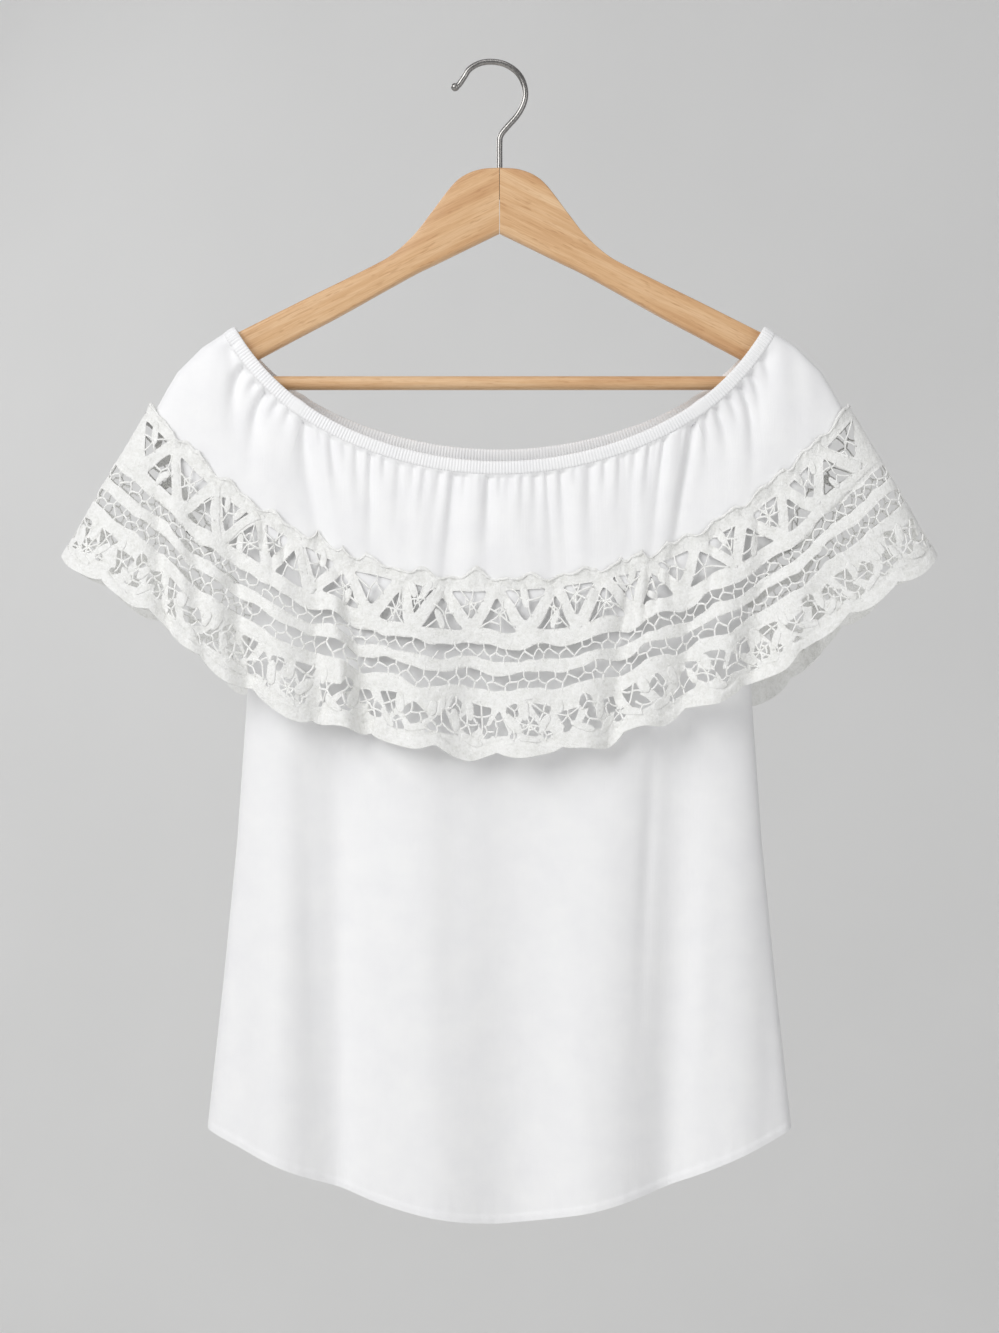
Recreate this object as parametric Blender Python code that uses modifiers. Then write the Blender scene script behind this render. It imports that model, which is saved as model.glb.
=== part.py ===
"""Off-shoulder top with a lace flounce, hung on a wooden hanger.

Millimetres are turned to metres when a mesh is made. X runs to the viewer's right, Z is up and the
front of the top faces -Y. The origin is where a rail bears on the inside of the hook.
"""

import math

import bmesh
import bpy
import numpy as np
from mathutils.geometry import delaunay_2d_cdt

MM = 0.001
GAP = 0.3
SEAM = 0.45

# Hanger: a flat wooden body in two halves, a wire hook and a round bar.
WOOD_THICKNESS = 12.0
WOOD_ROUNDING = 2.5
WOOD_TOP_Z = -79.2
BAR_Z = -244.6
BAR_RADIUS = 5.4
BAR_SEAT_X = 205.5
BAR_SEAT_DEPTH = 8.0
WIRE_RADIUS = 2.3
WIRE_TIP_RADIUS = 3.2
STEM_DEPTH = 24.0

# Neck: a gathered casing of even height, lower at the front than at the back.
NECK_HALF_WIDTH = 203.0
NECK_RIDGE_Z = -202.3
NECK_FRONT_Z = -306.0
NECK_BACK_Z = -294.0
BAND_HEIGHT = 10.4
BAND_THICKNESS = 2.2
UNDER_BAND = BAND_HEIGHT + 0.8

# Cloth of the body and the sleeves.
CLOTH_THICKNESS = 1.2
RAGLAN_NECK_X = 151.0
UNDERARM_X = 190.0
UNDERARM_Z = -412.0
SLEEVE_END_Z = -270.0
HEM_CENTRE_Z = -886.5
HEM_SIDE_Z = -817.4
HEM_POWER = 1.65
HEM_RAISE = 0.7

# Lace flounce: a straight strip, gathered where it is sewn on and free below.
LACE_THICKNESS = 1.5
LACE_HEIGHT = 140.2
LACE_HALF_LENGTH = 850.0
LACE_LINE_Z = -394.6
LACE_LINE_POWER = 2.3
LACE_EDGE_POWER = 1.75
LACE_RIDGE_TOP_Z = -262.0
LACE_RIDGE_LOW_Z = -382.0
LACE_TOP_HALF_WIDTH = 268.0
LACE_LOW_HALF_WIDTH = 338.0
LACE_STAND_OFF = 17.0
LACE_FOLD_LEAN = 0.28
MOTIFS_PER_HALF = 8
SCALLOPS_PER_MOTIF = 2
SCALLOP_DEPTH = 7.0

# What differs between front and back. A sag is where the flounce's edge hangs lower, or higher where its
# drop is negative: place, half width, drop. The back one shows below the front one at both sides.
FRONT = {
    "sign": -1.0,
    "neck_z": NECK_FRONT_Z,
    "mirror": 1.0,
    "sags": ((-160.0, 34.0, 11.0), (-288.0, 46.0, -8.0), (280.0, 45.0, -5.5)),
}
BACK = {
    "sign": 1.0,
    "neck_z": NECK_BACK_Z,
    "mirror": -1.0,
    "sags": ((210.0, 66.0, 20.0), (-205.0, 30.0, 12.0)),
}

# The fold line of the shoulder and the flounce, seen from the front: height, half width.
RIDGE = (
    (-460.0, 386.0),
    (-382.0, 338.0),
    (-262.0, 261.5),
    (-251.0, 255.5),
    (-237.0, 247.0),
    (-218.0, 228.0),
    (-207.6, 211.9),
    (-202.3, 203.0),
    (-195.0, 190.0),
)

# The side seams of the body and, above the underarm, how far the armhole flares: height, half width.
SIDE = (
    (-900.0, 231.0),
    (-817.4, 224.0),
    (-707.0, 212.0),
    (-597.0, 201.2),
    (-488.0, 193.6),
    (-412.0, 190.0),
    (-200.0, 381.0),
)

# Half depth of the hollow between front and back: height, depth.
ROOM = ((-900.0, 30.0), (-412.0, 26.0), (-300.0, 22.0), (-200.0, 21.0))

# Gathers below the neck casing: place at the casing, half width, depth, length.
GATHERS = (
    (-206.0, 3.5, 1.5, 20.0),
    (-196.0, 4.5, 2.6, 34.0),
    (-182.0, 3.0, 1.6, 18.0),
    (-174.0, 3.5, 2.0, 26.0),
    (-150.0, 4.5, 3.2, 80.0),
    (-132.0, 3.5, 2.0, 34.0),
    (-120.0, 3.0, 1.4, 16.0),
    (-110.0, 3.0, 1.6, 18.0),
    (-100.0, 4.5, 2.8, 52.0),
    (-77.0, 4.5, 2.0, 40.0),
    (-57.0, 4.0, 1.8, 30.0),
    (-43.0, 4.0, 2.2, 46.0),
    (-28.0, 4.5, 3.0, 76.0),
    (-8.0, 4.0, 2.6, 40.0),
    (4.0, 3.5, 1.6, 20.0),
    (19.0, 4.0, 2.2, 38.0),
    (36.0, 4.0, 2.2, 44.0),
    (47.0, 4.5, 2.8, 70.0),
    (64.0, 4.0, 1.5, 22.0),
    (89.0, 4.5, 2.2, 42.0),
    (107.0, 3.5, 1.6, 22.0),
    (123.0, 4.5, 2.4, 60.0),
    (147.0, 4.5, 3.2, 78.0),
    (160.0, 3.5, 1.8, 24.0),
    (174.0, 3.5, 1.8, 26.0),
    (188.0, 4.5, 2.8, 40.0),
    (205.0, 4.0, 1.8, 24.0),
)

# Soft folds of the body: place below the flounce, place at the hem, half width, height outward.
BODY_FOLDS = (
    (-170.0, -173.0, 24.0, 6.0),
    (-124.0, -119.0, 24.0, -6.5),
    (-62.0, -50.0, 34.0, 6.5),
    (8.0, 14.0, 32.0, -5.0),
    (98.0, 80.0, 30.0, 7.0),
    (146.0, 134.0, 20.0, -7.0),
    (182.0, 186.0, 22.0, 5.5),
)

# Folds of the flounce: place along it from left to right as a share, half width, height outward.
LACE_FOLDS = (
    (0.02, 0.014, -7.0),
    (0.06, 0.016, 7.0),
    (0.11, 0.018, 4.0),
    (0.15, 0.016, -8.0),
    (0.21, 0.026, 7.0),
    (0.262, 0.014, -5.0),
    (0.292, 0.014, 8.0),
    (0.318, 0.012, -11.0),
    (0.40, 0.030, 5.0),
    (0.47, 0.030, -3.5),
    (0.54, 0.032, 4.5),
    (0.61, 0.022, 3.0),
    (0.655, 0.016, -9.0),
    (0.70, 0.022, 6.0),
    (0.75, 0.020, -5.0),
    (0.80, 0.024, 6.5),
    (0.855, 0.018, -7.5),
    (0.91, 0.022, 5.0),
)

# Where a fold pulls the flounce out of line: place along it as a share, half width, shift upwards on its
# left side and downwards on its right.
LACE_KINKS = (
    (0.055, 0.030, 9.0),
    (0.160, 0.028, -5.0),
    (0.300, 0.022, 6.0),
    (0.430, 0.030, -2.5),
    (0.560, 0.030, 2.5),
    (0.675, 0.024, -6.0),
    (0.790, 0.028, 5.0),
    (0.930, 0.026, -5.0),
)

# Outline of the right half of the wooden body: x, z, "round" or "corner".
WOOD_OUTLINE = (
    (0.0, WOOD_TOP_Z, "round"),
    (14.3, -80.3, "round"),
    (27.0, -85.0, "round"),
    (37.0, -93.5, "round"),
    (52.4, -113.7, "round"),
    (65.5, -130.5, "round"),
    (81.3, -145.0, "round"),
    (99.0, -155.4, "round"),
    (154.4, -182.6, "round"),
    (199.2, -205.0, "round"),
    (217.0, -213.9, "round"),
    (223.3, -219.5, "round"),
    (224.5, -230.0, "round"),
    (224.5, -248.0, "round"),
    (219.0, -255.5, "round"),
    (210.5, -255.5, "round"),
    (BAR_SEAT_X, -249.0, "round"),
    (BAR_SEAT_X, -238.3, "corner"),
    (183.3, -225.6, "round"),
    (123.9, -194.0, "round"),
    (63.0, -160.2, "round"),
    (0.0, -129.7, "corner"),
)

# Centre line of the hook's wire from its tip to the wood: x, z.
HOOK_LINE = (
    (-37.3, -17.6),
    (-32.0, -15.5),
    (-27.6, -9.5),
    (-23.3, -3.1),
    (-15.7, 1.5),
    (-6.5, 2.9),
    (3.7, 1.1),
    (12.4, -4.2),
    (17.8, -11.7),
    (19.9, -21.4),
    (18.3, -30.0),
    (13.5, -38.7),
    (5.9, -47.4),
    (1.0, -53.8),
    (0.0, -60.3),
    (0.0, WOOD_TOP_Z),
    (0.0, WOOD_TOP_Z - STEM_DEPTH),
)


def table_column(table, column):
    return np.array([row[column] for row in table])


def between(table, value):
    """The table's second column where its first has this value."""
    return np.interp(value, table_column(table, 0), table_column(table, 1))


def smooth_step(low, high, value):
    share = np.clip((value - low) / (high - low), 0.0, 1.0)
    return share * share * (3.0 - 2.0 * share)


def swell(ratio, flatness, roundness):
    """Superellipse: 1 on the middle line, 0 where the ratio is 1."""
    return (1.0 - np.clip(np.abs(ratio), 0.0, 1.0) ** flatness) ** (1.0 / roundness)


def bump(distance, half_width):
    return np.exp(-((distance / half_width) ** 2))


# Neck line and casing


def neck_line(half, share, below):
    """Front view (x, z) of the neck line, share -1 to 1 across, moved this far outwards from it."""
    across = np.abs(share)
    drop = NECK_RIDGE_Z - half["neck_z"]
    rise = 0.74 * across**2 + 0.26 * across**7
    slope = np.sign(share) * drop * (1.48 * across + 1.82 * across**6)
    length = np.hypot(NECK_HALF_WIDTH, slope)
    x = NECK_HALF_WIDTH * share + below * slope / length
    z = half["neck_z"] + drop * rise - below * NECK_HALF_WIDTH / length
    return x, z


def neck_z(half, x, below=0.0):
    """Height of the neck line, or of a line this far below it, over x."""
    across = np.linspace(0.0, 1.0, 200)
    line_x, line_z = neck_line(half, across, below)
    return np.interp(np.abs(x), line_x, line_z)


# Depth of the hanging cloth, measured from the plane of the hanger


def gathers(half, x, z):
    """How far the cloth falls in at its gathers, less how far it puffs out under the casing."""
    drop = np.clip(neck_z(half, x, BAND_HEIGHT) - z, 0.0, None)
    drop = drop + 0.8 * np.clip(np.abs(x) - NECK_HALF_WIDTH, 0.0, None)
    lean = 0.003 * drop * smooth_step(140.0, 230.0, np.abs(x))
    along = half["mirror"] * x / (1.0 + lean)
    depth = np.zeros_like(along)
    for place, half_width, deep, length in GATHERS:
        depth += deep * bump(along - place, half_width) * np.exp(-((drop / length) ** 1.5))
    return 2.0 * (1.0 - np.exp(-drop / 12.0)) - depth


def body_folds(half, x, z):
    """Soft folds below the flounce, growing towards the hem."""
    fall = np.clip((-380.0 - z) / 440.0, 0.0, 1.1)
    along = half["mirror"] * x
    height = np.zeros_like(along)
    for top, hem, half_width, out in BODY_FOLDS:
        height += out * bump(along - top - (hem - top) * fall, half_width)
    return height * fall**0.7


def cloth_depth(half, x, z):
    """Distance of the body's and sleeves' outer face from the hanger's plane."""
    past_ridge = np.abs(x) / between(RIDGE, z)
    past_side = np.abs(x) / between(SIDE, z)
    base = between(ROOM, z) * swell(past_ridge, 2.4, 4.0) * swell(past_side, 2.2, 3.0)
    fade = swell(past_ridge, 12.0, 2.0) * swell(past_side, 8.0, 2.0)
    return base + fade * (gathers(half, x, z) + body_folds(half, x, z))


def lace_outline(half, share, down):
    """Front view (x, z) of the flounce: share -1 to 1 across, down 0 at its top to 1 at its edge."""
    half_width = LACE_TOP_HALF_WIDTH + (LACE_LOW_HALF_WIDTH - LACE_TOP_HALF_WIDTH) * down
    ridge = LACE_RIDGE_TOP_Z + (LACE_RIDGE_LOW_Z - LACE_RIDGE_TOP_Z) * down
    centre = LACE_LINE_Z - LACE_HEIGHT * down
    power = LACE_LINE_POWER + (LACE_EDGE_POWER - LACE_LINE_POWER) * down
    x = half_width * share
    z = centre + (ridge - centre) * np.abs(share) ** power
    inside = 1.0 - np.abs(share) ** 12
    for place, width, drop in half["sags"]:
        z = z - drop * down**2 * bump(x - place, width) * inside
    return x, z


def lace_share(half, along):
    """Across share -1 to 1 of a place along the strip, 0 to 1, by length of the flounce's mid line."""
    share = np.linspace(-1.0, 1.0, 801)
    x, z = lace_outline(half, share, 0.5)
    y = between(ROOM, z) * swell(share, 2.4, 3.0)
    steps = np.sqrt(np.diff(x) ** 2 + np.diff(y) ** 2 + np.diff(z) ** 2)
    length = np.concatenate(([0.0], np.cumsum(steps)))
    return np.interp(along, length / length[-1], share)


def lace_point(half, along, down):
    """The flounce's inner face: along 0 to 1 from left to right, down 0 to 1.

    Its folds hang plumb, so lower down they lie nearer to the middle of the strip.
    """
    share = lace_share(half, along)
    x, z = lace_outline(half, share, down)
    frill = np.clip(1.0 - down / 0.07, 0.0, 1.0)
    z = z + frill * (2.6 * np.sin(along * 112.0) + 1.6 * np.sin(along * 187.0 + 1.0))
    for place, half_width, shift in LACE_KINKS:
        place = place if half["mirror"] > 0 else 1.0 - place
        aside = (along - place - LACE_FOLD_LEAN * (0.5 - place) * down) / half_width
        z = z - shift * half["mirror"] * aside * np.exp(-(aside**2)) * smooth_step(0.0, 0.3, down)
    free = smooth_step(0.05, 0.6, down)
    loose = between(ROOM, z) * swell(share, 2.4, 3.0)
    sewn = cloth_depth(half, x * (1.0 - 0.022 * np.abs(share) ** 8), z)
    folds = np.zeros_like(x)
    for place, half_width, out in LACE_FOLDS:
        place = place if half["mirror"] > 0 else 1.0 - place
        place = place + LACE_FOLD_LEAN * (0.5 - place) * down
        folds += out * bump(along - place, half_width)
    near_edge = swell(share, 10.0, 2.0)
    stand_off = 3.0 * smooth_step(0.06, 0.2, down) + LACE_STAND_OFF * down**1.2
    waves = folds * smooth_step(0.0, 0.7, down) + frill * (1.2 + 1.2 * np.sin(along * 150.0))
    y = sewn * (1.0 - free) + np.maximum(loose, sewn) * free
    y = y + GAP + near_edge * np.maximum(stand_off + waves, 0.2)
    return np.stack([x, half["sign"] * y, z], axis=-1)


# Mesh makers


def material(name, colour, roughness, metallic=0.0):
    made = bpy.data.materials.new(name)
    made.use_nodes = True
    shader = made.node_tree.nodes["Principled BSDF"]
    shader.inputs["Base Color"].default_value = (*colour, 1.0)
    shader.inputs["Roughness"].default_value = roughness
    shader.inputs["Metallic"].default_value = metallic
    return made


def add_object(name, mesh, collection, finish=None):
    made = bpy.data.objects.new(name, mesh)
    collection.objects.link(made)
    if finish:
        mesh.materials.append(finish)
        mesh.shade_smooth()
    return made


def mesh_from(name, points, faces):
    mesh = bpy.data.meshes.new(name)
    mesh.from_pydata([tuple(p) for p in np.asarray(points) * MM], [], faces)
    mesh.update()
    return mesh


def zip_rows(first, first_count, second, second_count):
    """Triangles between two rows of points that may differ in number, wound towards the viewer."""
    faces, i, j = [], 0, 0
    while i < first_count - 1 or j < second_count - 1:
        next_first = (i + 1) / (first_count - 1) if i < first_count - 1 else 2.0
        next_second = (j + 1) / (second_count - 1) if j < second_count - 1 else 2.0
        if next_first <= next_second:
            faces.append((first + i, second + j, first + i + 1))
            i += 1
        else:
            faces.append((first + i, second + j, second + j + 1))
            j += 1
    return faces


def sheet_of_rows(rows, flip):
    """Points and triangles of an open sheet given row by row, from the top down."""
    points = np.concatenate(rows)
    starts = np.cumsum([0] + [len(row) for row in rows])
    faces = []
    for k in range(len(rows) - 1):
        faces += zip_rows(starts[k], len(rows[k]), starts[k + 1], len(rows[k + 1]))
    return points, [face[::-1] for face in faces] if flip else faces


def wall(name, points, faces, thickness, outward, finish, collection):
    """An open sheet given its thickness by Solidify, away from its outer face unless outward."""
    made = add_object(name, mesh_from(name, points, faces), collection, finish)
    solidify = made.modifiers.new("thickness", "SOLIDIFY")
    solidify.thickness = thickness * MM
    solidify.offset = 1.0 if outward else -1.0
    return made


# Cloth pieces


def on_cloth(half, x, z, clearance=0.0):
    y = np.maximum(cloth_depth(half, x, z), CLOTH_THICKNESS + 0.5 * GAP) + clearance
    return np.stack([x, half["sign"] * y, z], axis=-1)


def raglan_x(half, z):
    """Half width of the raglan seam at this height."""
    top = neck_z(half, RAGLAN_NECK_X, UNDER_BAND)
    share = (top - z) / (top - UNDERARM_Z)
    return RAGLAN_NECK_X + (UNDERARM_X - RAGLAN_NECK_X) * share


def panel_row(half, level, count):
    """One row of a body panel: level 0 at the casing, 1 at the lace line, 2 at the hem."""
    across = np.linspace(-1.0, 1.0, count)
    across = np.sign(across) * np.abs(across) ** (0.92 if level > 1.2 else 1.0)
    neck_side = neck_z(half, RAGLAN_NECK_X, UNDER_BAND)
    lace_side = -343.0
    at_neck = neck_z(half, RAGLAN_NECK_X * across, UNDER_BAND)
    at_lace = LACE_LINE_Z + (lace_side - LACE_LINE_Z) * np.abs(across) ** LACE_LINE_POWER
    at_hem = HEM_CENTRE_Z + (HEM_SIDE_Z - HEM_CENTRE_Z) * np.abs(across) ** HEM_POWER
    if level <= 1.0:
        z = at_neck + (at_lace - at_neck) * level
        side_z = neck_side + (lace_side - neck_side) * level
    else:
        z = at_lace + (at_hem - at_lace) * (level - 1.0)
        side_z = lace_side + (HEM_SIDE_Z - lace_side) * (level - 1.0)
    on_raglan = side_z > UNDERARM_Z
    half_width = raglan_x(half, side_z) - SEAM if on_raglan else between(SIDE, side_z)
    return on_cloth(half, across * half_width, z, HEM_RAISE if level > 1.97 else 0.0)


def panel(name, half, finish, collection):
    """Front or back of the body, from the neck casing to the hem: level, points in the row."""
    rows = (
        (0.0, 62),
        (0.2, 62),
        (0.45, 56),
        (0.75, 44),
        (1.0, 34),
        (1.16, 28),
        (1.3, 26),
        (1.48, 24),
        (1.66, 24),
        (1.84, 26),
        (1.985, 28),
        (2.0, 28),
    )
    points, faces = sheet_of_rows([panel_row(half, *row) for row in rows], half["sign"] > 0)
    return wall(name, points, faces, CLOTH_THICKNESS, False, finish, collection)


def sleeve_row(side, level, count):
    """One row of a raglan sleeve, from the front seam over the shoulder to the back seam."""
    toward = 1.0 - (1.0 - np.linspace(0.0, 1.0, count)) ** 1.7
    halves = []
    for half in (FRONT, BACK):
        across = np.linspace(0.0, 1.0, 400)
        line_x, _ = neck_line(half, across, UNDER_BAND)
        start = np.interp(RAGLAN_NECK_X, line_x, across)
        neck = np.stack(neck_line(half, start + (1.0 - start) * toward, UNDER_BAND), -1)
        underarm = np.array([UNDERARM_X, UNDERARM_Z])
        end = np.array([between(RIDGE, SLEEVE_END_Z), SLEEVE_END_Z])
        cuff = underarm + (end - underarm) * toward[:, None]
        flat = neck * (1.0 - level) + cuff * level
        ridge_z = flat[-1, 1]
        bulge = between(RIDGE, ridge_z) - flat[-1, 0]
        x = flat[:, 0] + bulge * toward**3 + SEAM
        halves.append(on_cloth(half, side * np.minimum(x, between(RIDGE, flat[:, 1])), flat[:, 1]))
    front, back = halves
    front[-1, 1] = 0.0
    row = np.concatenate([front, back[-2::-1]])
    return row if side < 0 else row[::-1]


def sleeve(name, side, finish, collection):
    rows = [sleeve_row(side, level, 15) for level in (0.0, 0.16, 0.36, 0.6, 0.82, 1.0)]
    points, faces = sheet_of_rows([row[::-1] for row in rows], False)
    return wall(name, points, faces, CLOTH_THICKNESS, False, finish, collection)


def neck_casing(name, finish, collection):
    """The gathered casing: a closed ring over both shoulders."""
    share = np.sin(np.linspace(-math.pi / 2.0, math.pi / 2.0, 65))
    rows = []
    for below in (0.0, 0.5 * BAND_HEIGHT, BAND_HEIGHT):
        front_x, front_z = neck_line(FRONT, share, below)
        back_x, back_z = neck_line(BACK, share[1:-1][::-1], below)
        front = on_cloth(FRONT, front_x, front_z, 0.6)
        back = on_cloth(BACK, back_x, back_z, 0.6)
        front[[0, -1], 1] = 0.0
        rows.append(np.concatenate([front, back]))
    count = len(rows[0])
    faces = []
    for k in range(len(rows) - 1):
        for i in range(count):
            j = (i + 1) % count
            faces.append((k * count + i, (k + 1) * count + i, (k + 1) * count + j, k * count + j))
    return wall(name, np.concatenate(rows), faces, BAND_THICKNESS, False, finish, collection)


# Lace


def lace_edge(along_mm):
    """Depth of the scalloped lower edge below the strip's top, in millimetres."""
    scallop = LACE_HALF_LENGTH / (MOTIFS_PER_HALF * SCALLOPS_PER_MOTIF)
    wave = np.abs(np.sin(math.pi * along_mm / scallop))
    return LACE_HEIGHT - SCALLOP_DEPTH + SCALLOP_DEPTH * wave**0.8


def lace_gaps():
    """The largest gaps of each motif as (along, down) outlines: web triangles and net cells."""
    motif = LACE_HALF_LENGTH / MOTIFS_PER_HALF
    cells = 8
    pitch = motif / cells
    outlines = []
    for number in range(MOTIFS_PER_HALF):
        start = number * motif
        for centre in (0.25, 0.75):
            middle = start + centre * motif
            outlines.append([(middle - 10.0, 13.0), (middle + 10.0, 13.0), (middle, 35.0)])
        for top, low in ((54.5, 63.5), (75.0, 84.5)):
            for cell in range(cells):
                middle = start + (cell + 0.5) * pitch
                wide, narrow = (6.6, 4.0) if cell % 2 else (4.0, 6.6)
                outlines.append(
                    [
                        (middle - wide, top),
                        (middle + wide, top),
                        (middle + narrow, low),
                        (middle - narrow, low),
                    ]
                )
    return outlines


def strip_places(count):
    """Places along the strip, closer together where it turns over the shoulders."""
    even = np.linspace(0.0, 1.0, count)
    turned = 0.5 - 0.5 * np.cos(math.pi * even)
    return LACE_HALF_LENGTH * (0.45 * even + 0.55 * turned)


def anticlockwise(outline):
    turned = np.roll(outline, -1, axis=0)
    area = np.sum(np.array(outline)[:, 0] * turned[:, 1] - turned[:, 0] * np.array(outline)[:, 1])
    return outline if area > 0.0 else outline[::-1]


def lace_half(name, half, finish, collection):
    """Half of the flounce: a flat strip with its gaps cut through, laid on the hanging form."""
    length = LACE_HALF_LENGTH
    edge_steps = MOTIFS_PER_HALF * SCALLOPS_PER_MOTIF * 4
    low = [(a, lace_edge(a)) for a in np.linspace(0.0, length, edge_steps + 1)]
    top = [(a, 0.0) for a in strip_places(70)[::-1]]
    right = [(length, d) for d in np.linspace(LACE_HEIGHT, 0.0, 8)[1:-1]]
    left = [(0.0, d) for d in np.linspace(0.0, LACE_HEIGHT, 8)[1:-1]]
    outlines = [low + right + top + left] + lace_gaps()
    inner = []
    for down, count in ((8.0, 70), (48.0, 34), (97.0, 44), (113.0, 40), (126.0, 60)):
        inner += [(a, down) for a in strip_places(count)[1:-1]]
    points, faces = [], []
    for outline in outlines:
        faces.append(list(range(len(points), len(points) + len(outline))))
        points += anticlockwise(outline)
    flat, _, triangles, _, _, sources = delaunay_2d_cdt(points + inner, [], faces, 1, 1e-4)
    cloth = [tri for tri, source in zip(triangles, sources) if source == [0]]
    flat = np.array([tuple(p) for p in flat])
    used = np.unique(np.array(cloth))
    number = {old: new for new, old in enumerate(used)}
    cloth = [tuple(number[corner] for corner in tri) for tri in cloth]
    flat = flat[used]
    shaped = lace_point(half, flat[:, 0] / length, flat[:, 1] / LACE_HEIGHT)
    ends = (flat[:, 0] < 0.01) | (flat[:, 0] > length - 0.01)
    shaped[ends, 1] = half["sign"] * GAP
    faces = [tri[::-1] for tri in cloth] if half["sign"] < 0 else cloth
    return wall(name, shaped, faces, LACE_THICKNESS, True, finish, collection)


# Hanger


def mesh_of_curve(source, name, collection, finish):
    """The curve's mesh with its caps welded, as an object of its own."""
    bpy.context.view_layer.update()
    evaluated = source.evaluated_get(bpy.context.evaluated_depsgraph_get())
    mesh = bpy.data.meshes.new_from_object(evaluated)
    mesh.transform(source.matrix_world)
    shape = bmesh.new()
    shape.from_mesh(mesh)
    bmesh.ops.remove_doubles(shape, verts=shape.verts, dist=0.00001)
    bmesh.ops.recalc_face_normals(shape, faces=shape.faces)
    shape.to_mesh(mesh)
    shape.free()
    bpy.data.objects.remove(source)
    mesh.materials.clear()
    return add_object(name, mesh, collection, finish)


def wood_blank(collection):
    """The whole wooden body before it is split: a flat outline with rounded edges."""
    right = [(x, z, kind) for x, z, kind in WOOD_OUTLINE]
    left = [(-x, z, kind) for x, z, kind in WOOD_OUTLINE[-2:0:-1]]
    outline = right + left
    curve = bpy.data.curves.new("wood_blank", "CURVE")
    curve.dimensions = "2D"
    curve.fill_mode = "BOTH"
    curve.resolution_u = 2
    curve.extrude = (0.5 * WOOD_THICKNESS - WOOD_ROUNDING) * MM
    curve.bevel_depth = WOOD_ROUNDING * MM
    curve.bevel_resolution = 1
    curve.offset = -WOOD_ROUNDING * MM
    spline = curve.splines.new("BEZIER")
    spline.bezier_points.add(len(outline) - 1)
    for point, (x, z, kind) in zip(spline.bezier_points, outline):
        point.co = (x * MM, z * MM, 0.0)
        handle = "AUTO" if kind == "round" else "VECTOR"
        point.handle_left_type = point.handle_right_type = handle
    spline.use_cyclic_u = True
    source = add_object("wood_outline", curve, collection)
    source.rotation_euler = (math.pi / 2.0, 0.0, 0.0)
    return mesh_of_curve(source, "wood_blank", collection, None)


def cylinder(name, radius, start, end, sides, collection, finish=None):
    """A round bar between two points on a line along X or Z."""
    bpy.ops.mesh.primitive_cylinder_add(vertices=sides, radius=radius * MM, depth=1.0)
    made = bpy.context.object
    made.name = name
    along = np.subtract(end, start)
    made.scale = (1.0, 1.0, float(np.linalg.norm(along)) * MM)
    bpy.ops.object.transform_apply(location=False, rotation=False, scale=True)
    made.location = [float(m) * MM for m in np.add(start, end) / 2.0]
    if abs(along[0]) > abs(along[2]):
        made.rotation_euler = (0.0, math.pi / 2.0, 0.0)
    for owner in list(made.users_collection):
        owner.objects.unlink(made)
    collection.objects.link(made)
    if finish:
        made.data.materials.append(finish)
        made.data.shade_smooth()
        made.data.set_sharp_from_angle(angle=math.radians(40.0))
    return made


def boolean(target, tool, operation):
    cut = target.modifiers.new(tool.name, "BOOLEAN")
    cut.operation = operation
    cut.object = tool


def helper(made):
    made.hide_render = True
    made.display_type = "WIRE"
    return made


def box(name, low, high, collection):
    bpy.ops.mesh.primitive_cube_add(size=1.0)
    made = bpy.context.object
    made.name = name
    made.scale = [float(side) * MM for side in np.subtract(high, low)]
    bpy.ops.object.transform_apply(location=False, rotation=False, scale=True)
    made.location = [float(m) * MM for m in np.add(low, high) / 2.0]
    for owner in list(made.users_collection):
        owner.objects.unlink(made)
    collection.objects.link(made)
    return made


def hanger(parts, cutters, wood, steel):
    blank = helper(wood_blank(cutters))
    bore_radius = BAR_RADIUS + GAP
    bore_end = BAR_SEAT_X + BAR_SEAT_DEPTH
    bore = cylinder("bar_bore", bore_radius, (-bore_end, 0, BAR_Z), (bore_end, 0, BAR_Z), 20, cutters)
    stem_low = (0, 0, WOOD_TOP_Z - STEM_DEPTH - GAP)
    socket = cylinder("stem_socket", WIRE_RADIUS + GAP, stem_low, (0, 0, WOOD_TOP_Z + 10.0), 16, cutters)
    helper(bore)
    helper(socket)
    boolean(blank, bore, "DIFFERENCE")
    boolean(blank, socket, "DIFFERENCE")
    reach, deep = 260.0, 30.0
    for name, low_x, high_x in (("left", -reach, -0.5 * GAP), ("right", 0.5 * GAP, reach)):
        keep = box(f"{name}_side", (low_x, -deep, -300.0), (high_x, deep, -50.0), cutters)
        helper(keep)
        arm = add_object(f"hanger_{name}_arm", blank.data.copy(), parts, wood)
        boolean(arm, bore, "DIFFERENCE")
        boolean(arm, socket, "DIFFERENCE")
        boolean(arm, keep, "INTERSECT")
    bar_end = bore_end - GAP
    cylinder("hanger_bar", BAR_RADIUS, (-bar_end, 0, BAR_Z), (bar_end, 0, BAR_Z), 20, parts, wood)
    hook(parts, cutters, steel)


def smooth_line(points, steps):
    """Catmull-Rom curve through the points, with this many steps between each two."""
    knots = np.array(points)
    padded = np.concatenate([2.0 * knots[:1] - knots[1:2], knots, 2.0 * knots[-1:] - knots[-2:-1]])
    t = np.linspace(0.0, 1.0, steps, endpoint=False)[:, None]
    spans = []
    for before, start, end, after in zip(padded, padded[1:], padded[2:], padded[3:]):
        linear = end - before
        square = 2.0 * before - 5.0 * start + 4.0 * end - after
        cube = 3.0 * start - before - 3.0 * end + after
        spans.append(0.5 * (2.0 * start + linear * t + square * t**2 + cube * t**3))
    return np.concatenate(spans + [knots[-1:]])


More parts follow.
